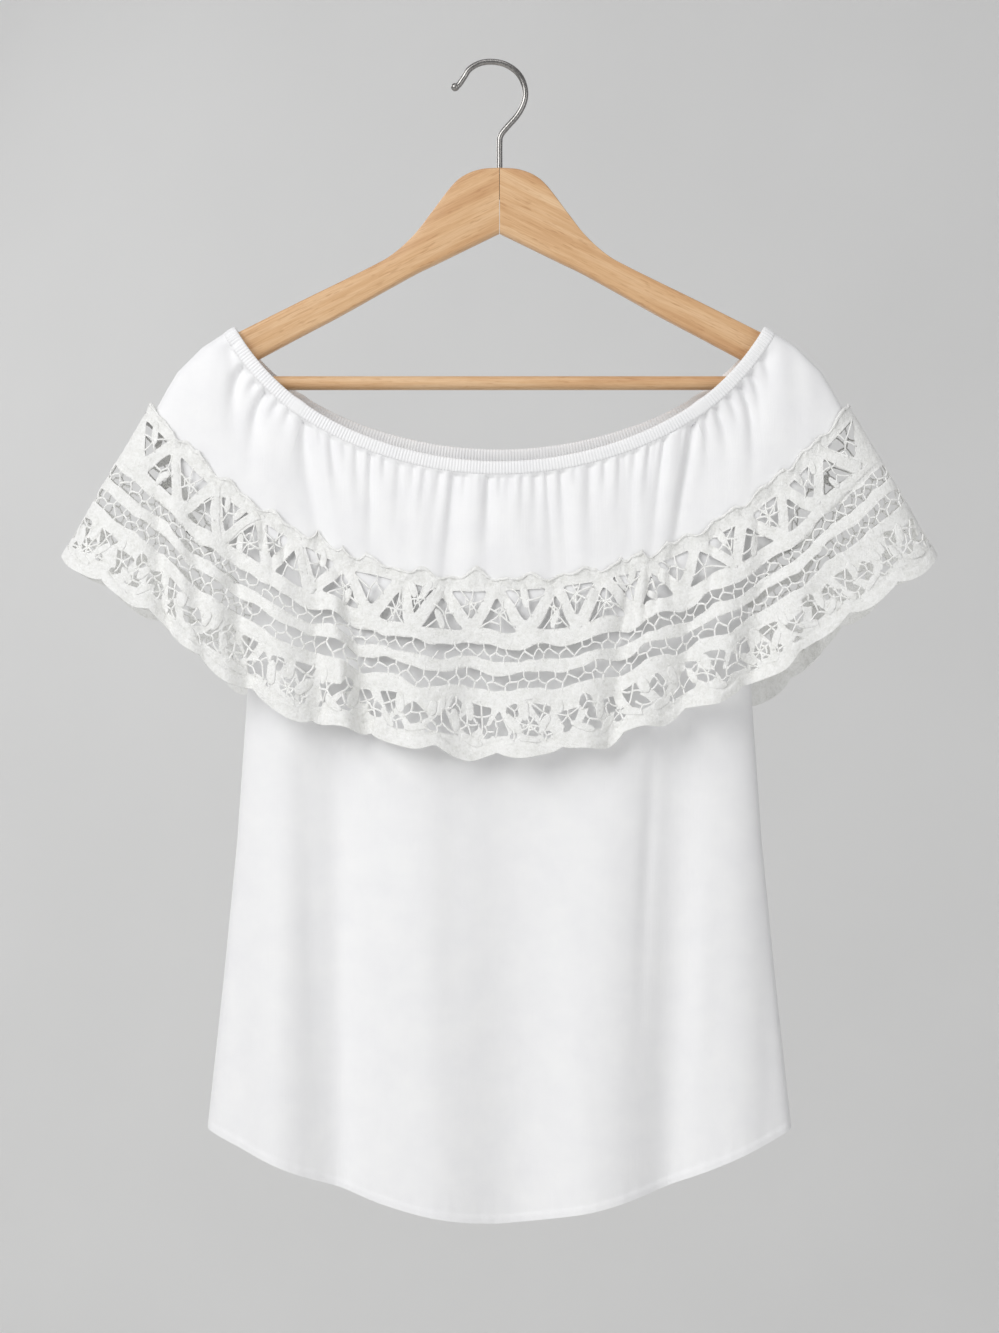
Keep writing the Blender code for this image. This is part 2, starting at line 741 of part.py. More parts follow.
def hook(parts, cutters, steel):
    """Bent wire with a balled tip, its stem down in the wood."""
    line = smooth_line(HOOK_LINE, 3)
    curve = bpy.data.curves.new("hook_wire", "CURVE")
    curve.dimensions = "3D"
    curve.bevel_depth = WIRE_RADIUS * MM
    curve.bevel_resolution = 2
    curve.use_fill_caps = True
    spline = curve.splines.new("POLY")
    spline.points.add(len(line) - 1)
    for point, (x, z) in zip(spline.points, line):
        point.co = (x * MM, 0.0, z * MM, 1.0)
    source = add_object("hook_line", curve, cutters)
    wire = mesh_of_curve(source, "hanger_hook", parts, steel)
    bpy.ops.mesh.primitive_uv_sphere_add(segments=12, ring_count=8, radius=WIRE_TIP_RADIUS * MM)
    tip = bpy.context.object
    tip.name = "hook_tip"
    tip.location = (line[0, 0] * MM, 0.0, line[0, 1] * MM)
    for owner in list(tip.users_collection):
        owner.objects.unlink(tip)
    cutters.objects.link(tip)
    helper(tip)
    boolean(wire, tip, "UNION")


def main():
    for old in list(bpy.data.objects):
        bpy.data.objects.remove(old)
    parts = bpy.data.collections.new("off_shoulder_top")
    cutters = bpy.data.collections.new("cutters")
    for collection in (parts, cutters):
        bpy.context.scene.collection.children.link(collection)
    white = material("white_viscose", (0.86, 0.86, 0.87), 0.75)
    lace = material("white_cotton_lace", (0.84, 0.84, 0.82), 0.9)
    wood = material("lacquered_wood", (0.64, 0.41, 0.22), 0.35)
    steel = material("brushed_steel", (0.62, 0.61, 0.6), 0.3, 1.0)
    hanger(parts, cutters, wood, steel)
    neck_casing("neck_casing", white, parts)
    panel("front_panel", FRONT, white, parts)
    panel("back_panel", BACK, white, parts)
    sleeve("left_sleeve", -1.0, white, parts)
    sleeve("right_sleeve", 1.0, white, parts)
    lace_half("lace_front", FRONT, lace, parts)
    lace_half("lace_back", BACK, lace, parts)


main()
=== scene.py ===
"""Looks of the off-shoulder top with its lace flounce, on a wooden hanger.

Sizes are millimetres and turn to metres when a mesh is made. X runs to the viewer's right, Z is up
and the front of the top faces -Y. Every cloth surface is a function of two numbers on a grid.
"""

import math

import bpy
import numpy as np
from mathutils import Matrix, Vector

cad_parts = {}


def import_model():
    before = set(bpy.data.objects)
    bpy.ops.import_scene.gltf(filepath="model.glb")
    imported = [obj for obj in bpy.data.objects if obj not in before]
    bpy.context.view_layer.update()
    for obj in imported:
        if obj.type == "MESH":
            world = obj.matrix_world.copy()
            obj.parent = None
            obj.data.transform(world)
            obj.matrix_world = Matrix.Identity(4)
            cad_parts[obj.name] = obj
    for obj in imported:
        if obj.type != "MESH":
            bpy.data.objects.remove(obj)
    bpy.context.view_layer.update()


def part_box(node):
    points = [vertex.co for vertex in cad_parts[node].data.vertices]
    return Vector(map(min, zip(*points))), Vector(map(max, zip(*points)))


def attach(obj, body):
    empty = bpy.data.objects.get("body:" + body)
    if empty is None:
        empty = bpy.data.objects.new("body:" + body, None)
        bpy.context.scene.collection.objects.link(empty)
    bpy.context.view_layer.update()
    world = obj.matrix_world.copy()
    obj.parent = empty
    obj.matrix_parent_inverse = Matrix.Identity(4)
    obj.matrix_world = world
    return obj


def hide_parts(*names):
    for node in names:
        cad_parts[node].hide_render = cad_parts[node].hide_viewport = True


MM = 0.001
GAP = 0.3

# Neck: height of the neck line over the shoulders, at the front and at the back.
NECK_HALF_WIDTH = 203.0
NECK_RIDGE_Z = -202.3
NECK_FRONT_Z = -306.0
NECK_BACK_Z = -294.0
BAND_HEIGHT = 10.4
UNDER_BAND = BAND_HEIGHT - 0.7
RIB_PITCH = 2.4

# Cloth of the body and the sleeves.
CLOTH_THICKNESS = 0.7
SEAM = -0.02
SIDE_SEAM_Y = 0.35
RAGLAN_NECK_X = 151.0
UNDERARM_X = 190.0
UNDERARM_Z = -412.0
SLEEVE_END_Z = -270.0
HEM_CENTRE_Z = -886.5
HEM_SIDE_Z = -817.4
HEM_POWER = 1.65
HEM_WIDTH = 5.5
HEM_RAISE = 0.7

# Lace flounce: a straight strip, gathered where it is sewn on and free below.
LACE_HEIGHT = 140.2
LACE_HALF_LENGTH = 850.0
LACE_LINE_Z = -394.6
LACE_LINE_POWER = 2.3
LACE_EDGE_POWER = 1.75
LACE_RIDGE_TOP_Z = -262.0
LACE_RIDGE_LOW_Z = -382.0
LACE_TOP_HALF_WIDTH = 268.0
LACE_LOW_HALF_WIDTH = 338.0
LACE_STAND_OFF = 17.0
LACE_MIDDLE = 0.75
LACE_FOLD_LEAN = 0.28
SCALLOPS = 16
HALF_MOTIF = LACE_HALF_LENGTH / SCALLOPS
SCALLOP_DEPTH = 7.0
THREAD_RADIUS = 0.75
THREAD_LIFT = 0.35

# What differs between front and back. A sag is where the flounce's edge hangs lower, or higher where its
# drop is negative: place, half width, drop. The back one shows below the front one at both sides.
FRONT = {
    "name": "front",
    "sign": -1.0,
    "neck_z": NECK_FRONT_Z,
    "mirror": 1.0,
    "sags": ((-160.0, 34.0, 11.0), (-288.0, 46.0, -8.0), (280.0, 45.0, -5.5)),
    "seed": 11,
}
BACK = {
    "name": "back",
    "sign": 1.0,
    "neck_z": NECK_BACK_Z,
    "mirror": -1.0,
    "sags": ((210.0, 66.0, 20.0), (-205.0, 30.0, 12.0)),
    "seed": 23,
}

# The fold line of the shoulder and the flounce, seen from the front: height, half width.
RIDGE = (
    (-460.0, 386.0),
    (-382.0, 338.0),
    (-262.0, 261.5),
    (-251.0, 255.5),
    (-237.0, 247.0),
    (-218.0, 228.0),
    (-207.6, 211.9),
    (-202.3, 203.0),
    (-195.0, 190.0),
)

# The side seams of the body and, above the underarm, how far the armhole flares: height, half width.
SIDE = (
    (-900.0, 231.0),
    (-817.4, 224.0),
    (-707.0, 212.0),
    (-597.0, 201.2),
    (-488.0, 193.6),
    (-412.0, 190.0),
    (-200.0, 381.0),
)

# Half depth of the hollow between front and back: height, depth.
ROOM = ((-900.0, 30.0), (-412.0, 26.0), (-300.0, 22.0), (-200.0, 21.0))

# Gathers below the neck casing: place at the casing, half width, depth, length.
GATHERS = (
    (-204.0, 2.0, 3.0, 18.0),
    (-195.0, 2.4, 6.0, 46.0),
    (-186.0, 1.8, 3.4, 24.0),
    (-178.0, 2.3, 5.4, 42.0),
    (-169.0, 1.9, 3.6, 26.0),
    (-161.0, 1.8, 2.4, 18.0),
    (-150.0, 3.8, 5.2, 100.0),
    (-138.0, 2.2, 1.4, 16.0),
    (-130.0, 2.8, 2.6, 40.0),
    (-119.0, 2.2, 1.6, 20.0),
    (-110.0, 2.6, 2.2, 30.0),
    (-99.0, 3.2, 3.2, 60.0),
    (-88.0, 2.2, 1.4, 16.0),
    (-77.0, 3.0, 2.2, 42.0),
    (-66.0, 2.2, 1.4, 18.0),
    (-57.0, 2.6, 2.2, 34.0),
    (-46.0, 2.4, 1.8, 28.0),
    (-35.0, 3.6, 3.6, 84.0),
    (-26.0, 2.2, 1.6, 20.0),
    (-9.0, 3.0, 3.2, 48.0),
    (0.0, 2.0, 1.4, 18.0),
    (8.0, 2.2, 1.2, 14.0),
    (17.0, 2.6, 2.2, 36.0),
    (27.0, 2.4, 1.8, 28.0),
    (36.0, 3.2, 3.0, 76.0),
    (46.0, 2.8, 2.4, 50.0),
    (57.0, 2.0, 1.2, 14.0),
    (68.0, 2.8, 2.0, 34.0),
    (80.0, 2.4, 1.8, 24.0),
    (92.0, 2.8, 2.2, 40.0),
    (104.0, 2.2, 1.6, 18.0),
    (114.0, 2.6, 2.4, 38.0),
    (126.0, 2.6, 2.6, 54.0),
    (147.0, 3.6, 4.8, 90.0),
    (156.0, 1.9, 3.2, 46.0),
    (164.0, 2.1, 4.0, 40.0),
    (173.0, 1.8, 3.2, 26.0),
    (182.0, 2.3, 5.4, 52.0),
    (190.0, 2.0, 4.4, 38.0),
    (200.0, 2.0, 3.2, 24.0),
)
FAN_REACH = 30.0

# Soft folds of the body: place below the flounce, place at the hem, half width, height outward.
BODY_FOLDS = (
    (-168.0, -170.0, 22.0, 9.5),
    (-126.0, -121.0, 20.0, -14.5),
    (-62.0, -50.0, 34.0, 9.5),
    (8.0, 14.0, 32.0, -6.5),
    (92.0, 78.0, 30.0, 9.0),
    (140.0, 130.0, 20.0, -9.0),
    (182.0, 186.0, 22.0, 5.0),
)

# Narrower creases on those folds: the same columns, then height of the middle, half length.
BODY_CREASES = (
    (-203.0, -197.0, 8.0, -2.0, -760.0, 120.0),
    (-152.0, -141.0, 9.0, -2.6, -640.0, 150.0),
    (-100.0, -82.0, 12.0, -1.4, -560.0, 90.0),
    (-34.0, -37.0, 12.0, -1.8, -620.0, 140.0),
    (40.0, 62.0, 11.0, 1.4, -800.0, 110.0),
    (124.0, 102.0, 6.0, -3.0, -590.0, 110.0),
    (166.0, 150.0, 9.0, 1.6, -700.0, 90.0),
    (201.0, 208.0, 8.0, -2.0, -700.0, 120.0),
)

# Folds of the flounce: place along it from left to right as a share, half width, height outward.
LACE_FOLDS = (
    (0.02, 0.014, -7.0),
    (0.06, 0.016, 7.0),
    (0.11, 0.018, 4.0),
    (0.15, 0.016, -8.0),
    (0.21, 0.026, 7.0),
    (0.262, 0.014, -5.0),
    (0.292, 0.014, 8.0),
    (0.318, 0.012, -11.0),
    (0.40, 0.030, 5.0),
    (0.47, 0.030, -3.5),
    (0.54, 0.032, 4.5),
    (0.61, 0.022, 3.0),
    (0.655, 0.016, -9.0),
    (0.70, 0.022, 6.0),
    (0.75, 0.020, -5.0),
    (0.80, 0.024, 6.5),
    (0.855, 0.018, -7.5),
    (0.91, 0.022, 5.0),
)

# Where a fold pulls the flounce's bands out of line: place along it as a share, half width, shift upwards
# on its left side and downwards on its right.
LACE_KINKS = (
    (0.055, 0.030, 9.0),
    (0.160, 0.028, -5.0),
    (0.300, 0.022, 6.0),
    (0.430, 0.030, -2.5),
    (0.560, 0.030, 2.5),
    (0.675, 0.024, -6.0),
    (0.790, 0.028, 5.0),
    (0.930, 0.026, -5.0),
)

# Small bunched tucks of the flounce, closer than its folds: place along it as a share, half width,
# height outward, how far down they reach, which way they lean.
TUCKS = (
    (0.198, 0.0055, -4.0, 0.34, 0.05),
    (0.211, 0.0045, -3.6, 0.42, 0.06),
    (0.224, 0.0050, -4.4, 0.36, 0.05),
    (0.268, 0.0050, -3.0, 0.30, 0.07),
    (0.298, 0.0075, -5.0, 0.85, 0.07),
    (0.384, 0.0050, -3.0, 0.26, 0.02),
    (0.436, 0.0055, -3.2, 0.30, 0.01),
    (0.505, 0.0060, -3.6, 0.24, 0.01),
    (0.566, 0.0050, -2.8, 0.22, -0.01),
    (0.622, 0.0055, -3.6, 0.34, -0.02),
    (0.664, 0.0050, -4.6, 0.50, -0.06),
    (0.677, 0.0042, -4.2, 0.62, -0.07),
    (0.690, 0.0048, -5.0, 0.66, -0.06),
    (0.704, 0.0045, -4.4, 0.52, -0.07),
    (0.717, 0.0050, -3.8, 0.40, -0.05),
    (0.782, 0.0070, -4.0, 0.60, -0.09),
    (0.838, 0.0055, -3.2, 0.36, -0.05),
    (0.905, 0.0050, -2.8, 0.30, -0.05),
)

# Bands of the lace, from its top edge down, in millimetres: where each tape runs and how wide it is.
TAPES = ((48.5, 10.5), (69.0, 9.5), (91.0, 9.5))
NETS = ((53.7, 64.3), (73.7, 86.3))
UPPER_BAND = (8.0, 43.5)
EDGE_WIDTH = 8.6
LACE_CELL = 1.4
CORNER_ROUNDING = 1.1
END_BORDER = 2.0
NET_PITCH = 13.2

# Holes of four neighbouring half motifs of the lower band: place along, place down, reach to its sides,
# sides, turn in degrees (of the first side's outward direction; 90 is down), threads, meeting points.
MOTIFS = (
    (
        (12.0, 103.4, 6.2, 4, 80.0, 3, 2),
        (38.5, 104.4, 6.0, 3, 30.0, 4, 1),
        (26.0, 115.4, 7.2, 5, 90.0, 7, 1),
        (0.5, 114.4, 6.6, 3, 90.0, 3, 2),
        (13.0, 122.6, 2.6, 3, 90.0, 2, 1),
        (40.0, 120.8, 3.4, 4, 100.0, 3, 1),
    ),
    (
        (24.5, 102.6, 5.4, 5, 60.0, 3, 1),
        (8.5, 111.0, 7.0, 3, 30.0, 5, 1),
        (43.0, 107.6, 6.4, 4, 70.0, 4, 2),
        (27.0, 117.6, 5.6, 3, 90.0, 3, 1),
        (4.0, 122.6, 2.4, 3, 90.0, 0, 1),
    ),
    (
        (13.0, 105.4, 6.2, 3, 30.0, 4, 1),
        (33.0, 109.6, 7.4, 4, 50.0, 4, 2),
        (0.0, 116.6, 6.0, 5, 80.0, 5, 1),
        (18.0, 119.4, 4.6, 3, 90.0, 3, 1),
        (45.0, 120.8, 3.4, 4, 20.0, 2, 1),
    ),
    (
        (15.0, 102.8, 5.8, 4, 20.0, 3, 2),
        (38.0, 104.8, 6.4, 3, 30.0, 4, 1),
        (25.0, 114.0, 6.4, 4, 45.0, 5, 1),
        (4.0, 114.4, 6.8, 3, 90.0, 4, 2),
        (42.0, 118.6, 5.0, 4, 70.0, 3, 1),
    ),
)

# Petals of four neighbouring half motifs: place along, place down, length, width, turn in degrees.
PETALS = (
    (
        (26.5, 14.0, 17.0, 7.0, 62.0),
        (25.5, 103.0, 15.0, 7.6, 84.0),
        (13.4, 113.6, 19.0, 7.6, 60.0),
        (39.0, 113.0, 15.0, 7.0, 122.0),
        (26.0, 126.0, 19.0, 5.6, 2.0),
    ),
    (
        (3.0, 35.0, 17.0, 7.0, 112.0),
        (33.5, 109.0, 17.0, 7.4, 104.0),
        (17.0, 119.4, 18.0, 7.0, 34.0),
        (39.0, 121.0, 17.0, 6.8, 146.0),
        (0.0, 100.6, 13.0, 7.0, 90.0),
    ),
    (
        (34.0, 15.0, 16.0, 6.8, 118.0),
        (19.0, 15.0, 15.0, 6.4, 66.0),
        (22.5, 104.0, 16.0, 7.4, 86.0),
        (9.0, 119.6, 17.0, 6.8, 42.0),
        (34.0, 122.4, 18.0, 6.6, 168.0),
        (47.0, 104.0, 14.0, 7.2, 88.0),
    ),
    (
        (-6.0, 36.0, 15.0, 6.6, 66.0),
        (26.5, 103.0, 14.0, 7.0, 92.0),
        (13.0, 112.0, 15.0, 6.4, 66.0),
        (30.0, 124.4, 20.0, 6.8, 4.0),
        (0.0, 102.4, 14.0, 7.0, 90.0),
    ),
)

# Hanger.
WOOD_THICKNESS = 12.0
ARM_TILT = 26.5
WOOD_TOP_Z = -79.2
BAR_Z = -244.6
WIRE_RADIUS = 2.3
WIRE_TIP_RADIUS = 3.2
HOOK_LINE = (
    (-37.3, -17.6),
    (-32.0, -15.5),
    (-27.6, -9.5),
    (-23.3, -3.1),
    (-15.7, 1.5),
    (-6.5, 2.9),
    (3.7, 1.1),
    (12.4, -4.2),
    (17.8, -11.7),
    (19.9, -21.4),
    (18.3, -30.0),
    (13.5, -38.7),
    (5.9, -47.4),
    (1.0, -53.8),
    (0.0, -60.3),
    (0.0, WOOD_TOP_Z),
    (0.0, WOOD_TOP_Z - 24.0),
)

# The wooden arm from the middle to its end: upper outline and lower outline, each x, z.
ARM_UPPER = (
    (0.2, -79.2),
    (14.3, -80.3),
    (27.0, -85.0),
    (37.0, -93.5),
    (52.4, -113.7),
    (65.5, -130.5),
    (81.3, -145.0),
    (99.0, -155.4),
    (154.4, -182.6),
    (199.2, -205.0),
    (217.0, -213.9),
    (223.3, -219.5),
    (224.5, -230.0),
    (224.5, -248.0),
    (219.0, -255.5),
)
ARM_LOWER = (
    (0.2, -129.7),
    (20.0, -139.3),
    (34.0, -146.2),
    (48.0, -153.0),
    (63.0, -160.2),
    (84.0, -171.7),
    (104.0, -182.9),
    (123.9, -194.0),
    (154.0, -209.9),
    (183.3, -225.6),
    (198.0, -233.8),
    (205.5, -238.3),
    (205.6, -244.0),
    (205.8, -249.0),
    (211.0, -255.5),
)

# Camera and room, in the same frame.
CAMERA_DISTANCE = 2420.0
CAMERA_Z = -450.0
PHOTO_SCALE = 0.77
PHOTO_SIZE = (999, 1333)
PHOTO_ORIGIN = (499.5, 65.5)
SENSOR = 36.0
FLOOR_Z = -1900.0
WALL_Y = 3600.0
WALL_TOP_Z = 4000.0
ROOM_REACH = 6000.0

# Soft lamps: name, place, size, watts.
LAMPS = (
    ("top", (0.0, -1500.0, 2300.0), (1600.0, 1200.0), 10.5),
    ("key", (-1900.0, -2300.0, 1100.0), (2200.0, 2200.0), 65.0),
    ("fill", (2500.0, -2900.0, -300.0), (2000.0, 2000.0), 19.0),
    ("rear", (-2200.0, 2600.0, 900.0), (1800.0, 1800.0), 30.0),
)


def table_column(table, column):
    return np.array([row[column] for row in table])


def between(table, value):
    """The table's second column where its first has this value."""
    return np.interp(value, table_column(table, 0), table_column(table, 1))


def smooth_step(low, high, value):
    share = np.clip((value - low) / (high - low), 0.0, 1.0)
    return share * share * (3.0 - 2.0 * share)


def swell(ratio, flatness, roundness):
    """Superellipse: 1 on the middle line, 0 where the ratio is 1."""
    return (1.0 - np.clip(np.abs(ratio), 0.0, 1.0) ** flatness) ** (1.0 / roundness)


def bump(distance, half_width):
    return np.exp(-((distance / half_width) ** 2))


def ripple(seed, count, low, high):
    """Rows of (frequency, phase, weight) for an uneven wave made of several sines."""
    rng = np.random.default_rng(seed)
    frequency = rng.uniform(low, high, count)
    phase = rng.uniform(0.0, 2.0 * math.pi, count)
    weight = rng.uniform(0.5, 1.0, count)
    return np.stack([frequency, phase, weight / weight.sum()], axis=1)


def uneven_wave(rows, value):
    return sum(weight * np.sin(frequency * value + phase) for frequency, phase, weight in rows)


# Form of the hanging cloth


def neck_line(half, share, below):
    """Front view (x, z) of the neck line, share -1 to 1 across, moved this far outwards from it."""
    across = np.abs(share)
    drop = NECK_RIDGE_Z - half["neck_z"]
    rise = 0.74 * across**2 + 0.26 * across**7
    slope = np.sign(share) * drop * (1.48 * across + 1.82 * across**6)
    length = np.hypot(NECK_HALF_WIDTH, slope)
    x = NECK_HALF_WIDTH * share + below * slope / length
    z = half["neck_z"] + drop * rise - below * NECK_HALF_WIDTH / length
    return x, z


def neck_z(half, x, below=0.0):
    """Height of the neck line, or of a line this far below it, over x."""
    across = np.linspace(0.0, 1.0, 400)
    line_x, line_z = neck_line(half, across, below)
    return np.interp(np.abs(x), line_x, line_z)


def gathers(half, x, z):
    """How far the cloth falls in at its gathers, less how far it puffs out under the casing.

    Each gather is a Gaussian trough across, steeper on its left side, which grows wider downwards and
    fades out over its own length. On the sleeves it starts at right angles to the casing and soon hangs
    plumb, beside the raglan seams it leans inwards, in the middle a little outwards. Between the named
    ones lie small uneven puckers, which are gone after a finger's width. The casing itself is smooth.
    """
    drop = np.clip(neck_z(half, x, BAND_HEIGHT) - z, 0.0, None)
    drop = drop + 0.8 * np.clip(np.abs(x) - NECK_HALF_WIDTH, 0.0, None)
    share = np.clip(np.abs(x) / NECK_HALF_WIDTH, 0.0, 1.0)
    slope = (NECK_RIDGE_Z - half["neck_z"]) / NECK_HALF_WIDTH * (1.48 * share + 1.82 * share**6)
    sunk = np.minimum(drop, 90.0)
    fan = slope / (1.0 + slope**2) * FAN_REACH * (1.0 - np.exp(-drop / FAN_REACH))
    fan = fan * smooth_step(138.0, 178.0, np.abs(x)) - 0.14 * sunk * bump(np.abs(x) - 134.0, 26.0)
    fan = fan + 0.08 * sunk * bump(np.abs(x) - 46.0, 26.0)
    along = half["mirror"] * np.sign(x) * (np.abs(x) - fan)
    depth = np.zeros_like(along)
    for place, half_width, deep, length in GATHERS:
        lower = np.clip(drop / length, 0.0, 1.5)
        width = half_width * (1.0 + 1.5 * lower) * np.where(along < place, 0.7, 1.5)
        depth += deep * (1.0 + 0.5 * lower) * bump(along - place, width) * bump(drop, length)
    puckers = uneven_wave(PUCKERS, along) * np.exp(-drop / 9.0)
    swells = uneven_wave(SWELLS, along) * np.exp(-((drop / 70.0) ** 2))
    free = smooth_step(0.0, 2.2, drop)
    return 1.7 * (1.0 - np.exp(-drop / 12.0)) + free * (1.2 * puckers + 1.4 * swells - 1.15 * depth)


def body_folds(half, x, z):
    """Soft folds below the flounce, growing towards the hem."""
    fall = np.clip((-380.0 - z) / 440.0, 0.0, 1.1)
    along = half["mirror"] * x
    height = np.zeros_like(along)
    for top, hem, half_width, out in BODY_FOLDS:
        height += out * bump(along - top - (hem - top) * fall, half_width)
    for top, hem, half_width, out, middle, reach in BODY_CREASES:
        height += out * bump(along - top - (hem - top) * fall, half_width) * bump(z - middle, reach)
    return height * fall**0.7


def cloth_depth(half, x, z):
    """Distance of the body's and sleeves' outer face from the hanger's plane."""
    past_ridge = np.abs(x) / between(RIDGE, z)
    past_side = np.abs(x) / between(SIDE, z)
    base = between(ROOM, z) * swell(past_ridge, 2.4, 4.0) * swell(past_side, 2.2, 3.0)
    fade = swell(past_ridge, 12.0, 2.0) * swell(past_side, 8.0, 2.0)
    return base + fade * (gathers(half, x, z) + body_folds(half, x, z))


PUCKERS = ripple(3, 9, 0.6, 1.5)
SWELLS = ripple(4, 5, 0.16, 0.34)


def on_cloth(half, x, z, clearance=0.0):
    y = np.maximum(cloth_depth(half, x, z), CLOTH_THICKNESS + 0.5 * GAP) + clearance
    return np.stack([x, half["sign"] * y, z], axis=-1)


def lace_outline(half, share, down):
    """Front view (x, z) of the flounce: share -1 to 1 across, down 0 at its top to 1 at its edge."""
    half_width = LACE_TOP_HALF_WIDTH + (LACE_LOW_HALF_WIDTH - LACE_TOP_HALF_WIDTH) * down
    ridge = LACE_RIDGE_TOP_Z + (LACE_RIDGE_LOW_Z - LACE_RIDGE_TOP_Z) * down
    centre = LACE_LINE_Z - LACE_HEIGHT * down
    power = LACE_LINE_POWER + (LACE_EDGE_POWER - LACE_LINE_POWER) * down
    x = half_width * share
    z = centre + (ridge - centre) * np.abs(share) ** power
    inside = 1.0 - np.abs(share) ** 12
    for place, width, drop in half["sags"]:
        z = z - drop * down**2 * bump(x - place, width) * inside
    return x, z


def lace_share(half, along):
    """Across share -1 to 1 of a place along the strip, 0 to 1, by length of the flounce's mid line."""
    share = np.linspace(-1.0, 1.0, 801)
    x, z = lace_outline(half, share, 0.5)
    y = between(ROOM, z) * swell(share, 2.4, 3.0)
    steps = np.sqrt(np.diff(x) ** 2 + np.diff(y) ** 2 + np.diff(z) ** 2)
    length = np.concatenate(([0.0], np.cumsum(steps)))
    return np.interp(along, length / length[-1], share)


def lace_point(half, along, down):
    """The flounce's inner face: along 0 to 1 from left to right, down 0 to 1.

    Its outline is a power curve from the middle to the shoulder ridge, with points here and there along
    its top where the header puckers. Uneven waves warp it within its own surface, so that its tapes
    waver and its nets pinch. Its depth goes from the cloth that it is sewn on to a swell that
    hangs free, plus folds that grow downwards from the seam. They hang plumb, so lower down they lie
    nearer to the middle of the strip.
    """
    share = lace_share(half, along)
    x, z = lace_outline(half, share, down)
    frill = np.clip(1.0 - down / 0.07, 0.0, 1.0)
    peaks = (1.0 - np.abs(np.sin(along * 61.0 + 2.4 * np.sin(along * 19.0) + half["seed"]))) ** 3
    peaks = peaks * (0.55 + 0.45 * np.sin(along * 33.0 + half["seed"]))
    z = z + frill * (2.2 * np.sin(along * 97.0) + 1.6 * np.sin(along * 187.0 + 1.0) + 5.0 * peaks)
    strip_mm = along * LACE_HALF_LENGTH + 10.0 * half["seed"]
    warped = smooth_step(0.0, 0.25, down) * (1.0 - np.abs(share) ** 8)
    low_wave = uneven_wave(WARP, strip_mm + 70.0 * down)
    high_wave = uneven_wave(WARP, 1.5 * strip_mm - 190.0 * down)
    z = z + warped * (3.4 * low_wave + 2.4 * high_wave)
    x = x + warped * 2.4 * uneven_wave(WARP, 1.2 * strip_mm + 120.0 * down)
    for place, half_width, shift in LACE_KINKS:
        place = place if half["mirror"] > 0 else 1.0 - place
        aside = (along - place - LACE_FOLD_LEAN * (0.5 - place) * down) / half_width
        z = z - shift * half["mirror"] * aside * np.exp(-(aside**2)) * smooth_step(0.0, 0.3, down)
    free = smooth_step(0.05, 0.6, down)
    loose = between(ROOM, z) * swell(share, 2.4, 3.0)
    sewn = cloth_depth(half, x * (1.0 - 0.022 * np.abs(share) ** 8), z) * swell(share, 60.0, 2.0)
    folds = np.zeros_like(x)
    for place, half_width, out in LACE_FOLDS:
        place = place if half["mirror"] > 0 else 1.0 - place
        place = place + LACE_FOLD_LEAN * (0.5 - place) * down
        folds += out * bump(along - place, half_width)
    near_edge = swell(share, 10.0, 2.0)
    stand_off = 3.0 * smooth_step(0.06, 0.2, down) + LACE_STAND_OFF * down**1.2
    waves = folds * smooth_step(0.0, 0.7, down) + frill * (1.2 + 1.2 * np.sin(along * 150.0))
    waves = waves + lace_creases(half, along, down)
    y = sewn * (1.0 - free) + np.maximum(loose, sewn) * free
    y = y + GAP + near_edge * np.maximum(stand_off + waves, 0.2)
    return np.stack([x, half["sign"] * y, z], axis=-1)


def lace_creases(half, along, down):
    """Small creases of the gathered lace: the named tucks and, between them, faint uneven waves."""
    bent = along * LACE_HALF_LENGTH + 14.0 * np.sin(3.1 * down + 9.0 * along + half["seed"])
    waves = 2.0 * uneven_wave(CREASES, bent) * (0.5 + 0.5 * np.sin(5.3 * down + 23.0 * along))
    for place, half_width, out, reach, lean in TUCKS:
        place, lean = (place, lean) if half["mirror"] > 0 else (1.0 - place, -lean)
        line = place + lean * down + 0.0016 * np.sin(17.0 * down + 300.0 * place)
        fade = smooth_step(0.02, 0.10, down) * (1.0 - smooth_step(0.4 * reach, reach, down))
        waves = waves + out * bump(along - line, half_width * (1.0 + 0.8 * down)) * fade
    return waves * smooth_step(0.02, 0.12, down)


CREASES = ripple(7, 8, 0.07, 0.24)
WARP = ripple(13, 7, 0.025, 0.11)


def on_lace(half, along_mm, down_mm, raised=0.0):
    """A point of the flounce's middle surface, moved out along the surface's normal."""
    along, down = along_mm / LACE_HALF_LENGTH, down_mm / LACE_HEIGHT
    step = 0.4
    here = lace_point(half, along, down)
    aside = lace_point(half, along + step / LACE_HALF_LENGTH, down)
    lower = lace_point(half, along, down + step / LACE_HEIGHT)
    normal = np.cross(lower - here, aside - here) * -half["sign"]
    normal /= np.linalg.norm(normal, axis=-1, keepdims=True) + 1e-12
    return here + normal * (LACE_MIDDLE + np.asarray(raised))[..., None]


# Mesh making


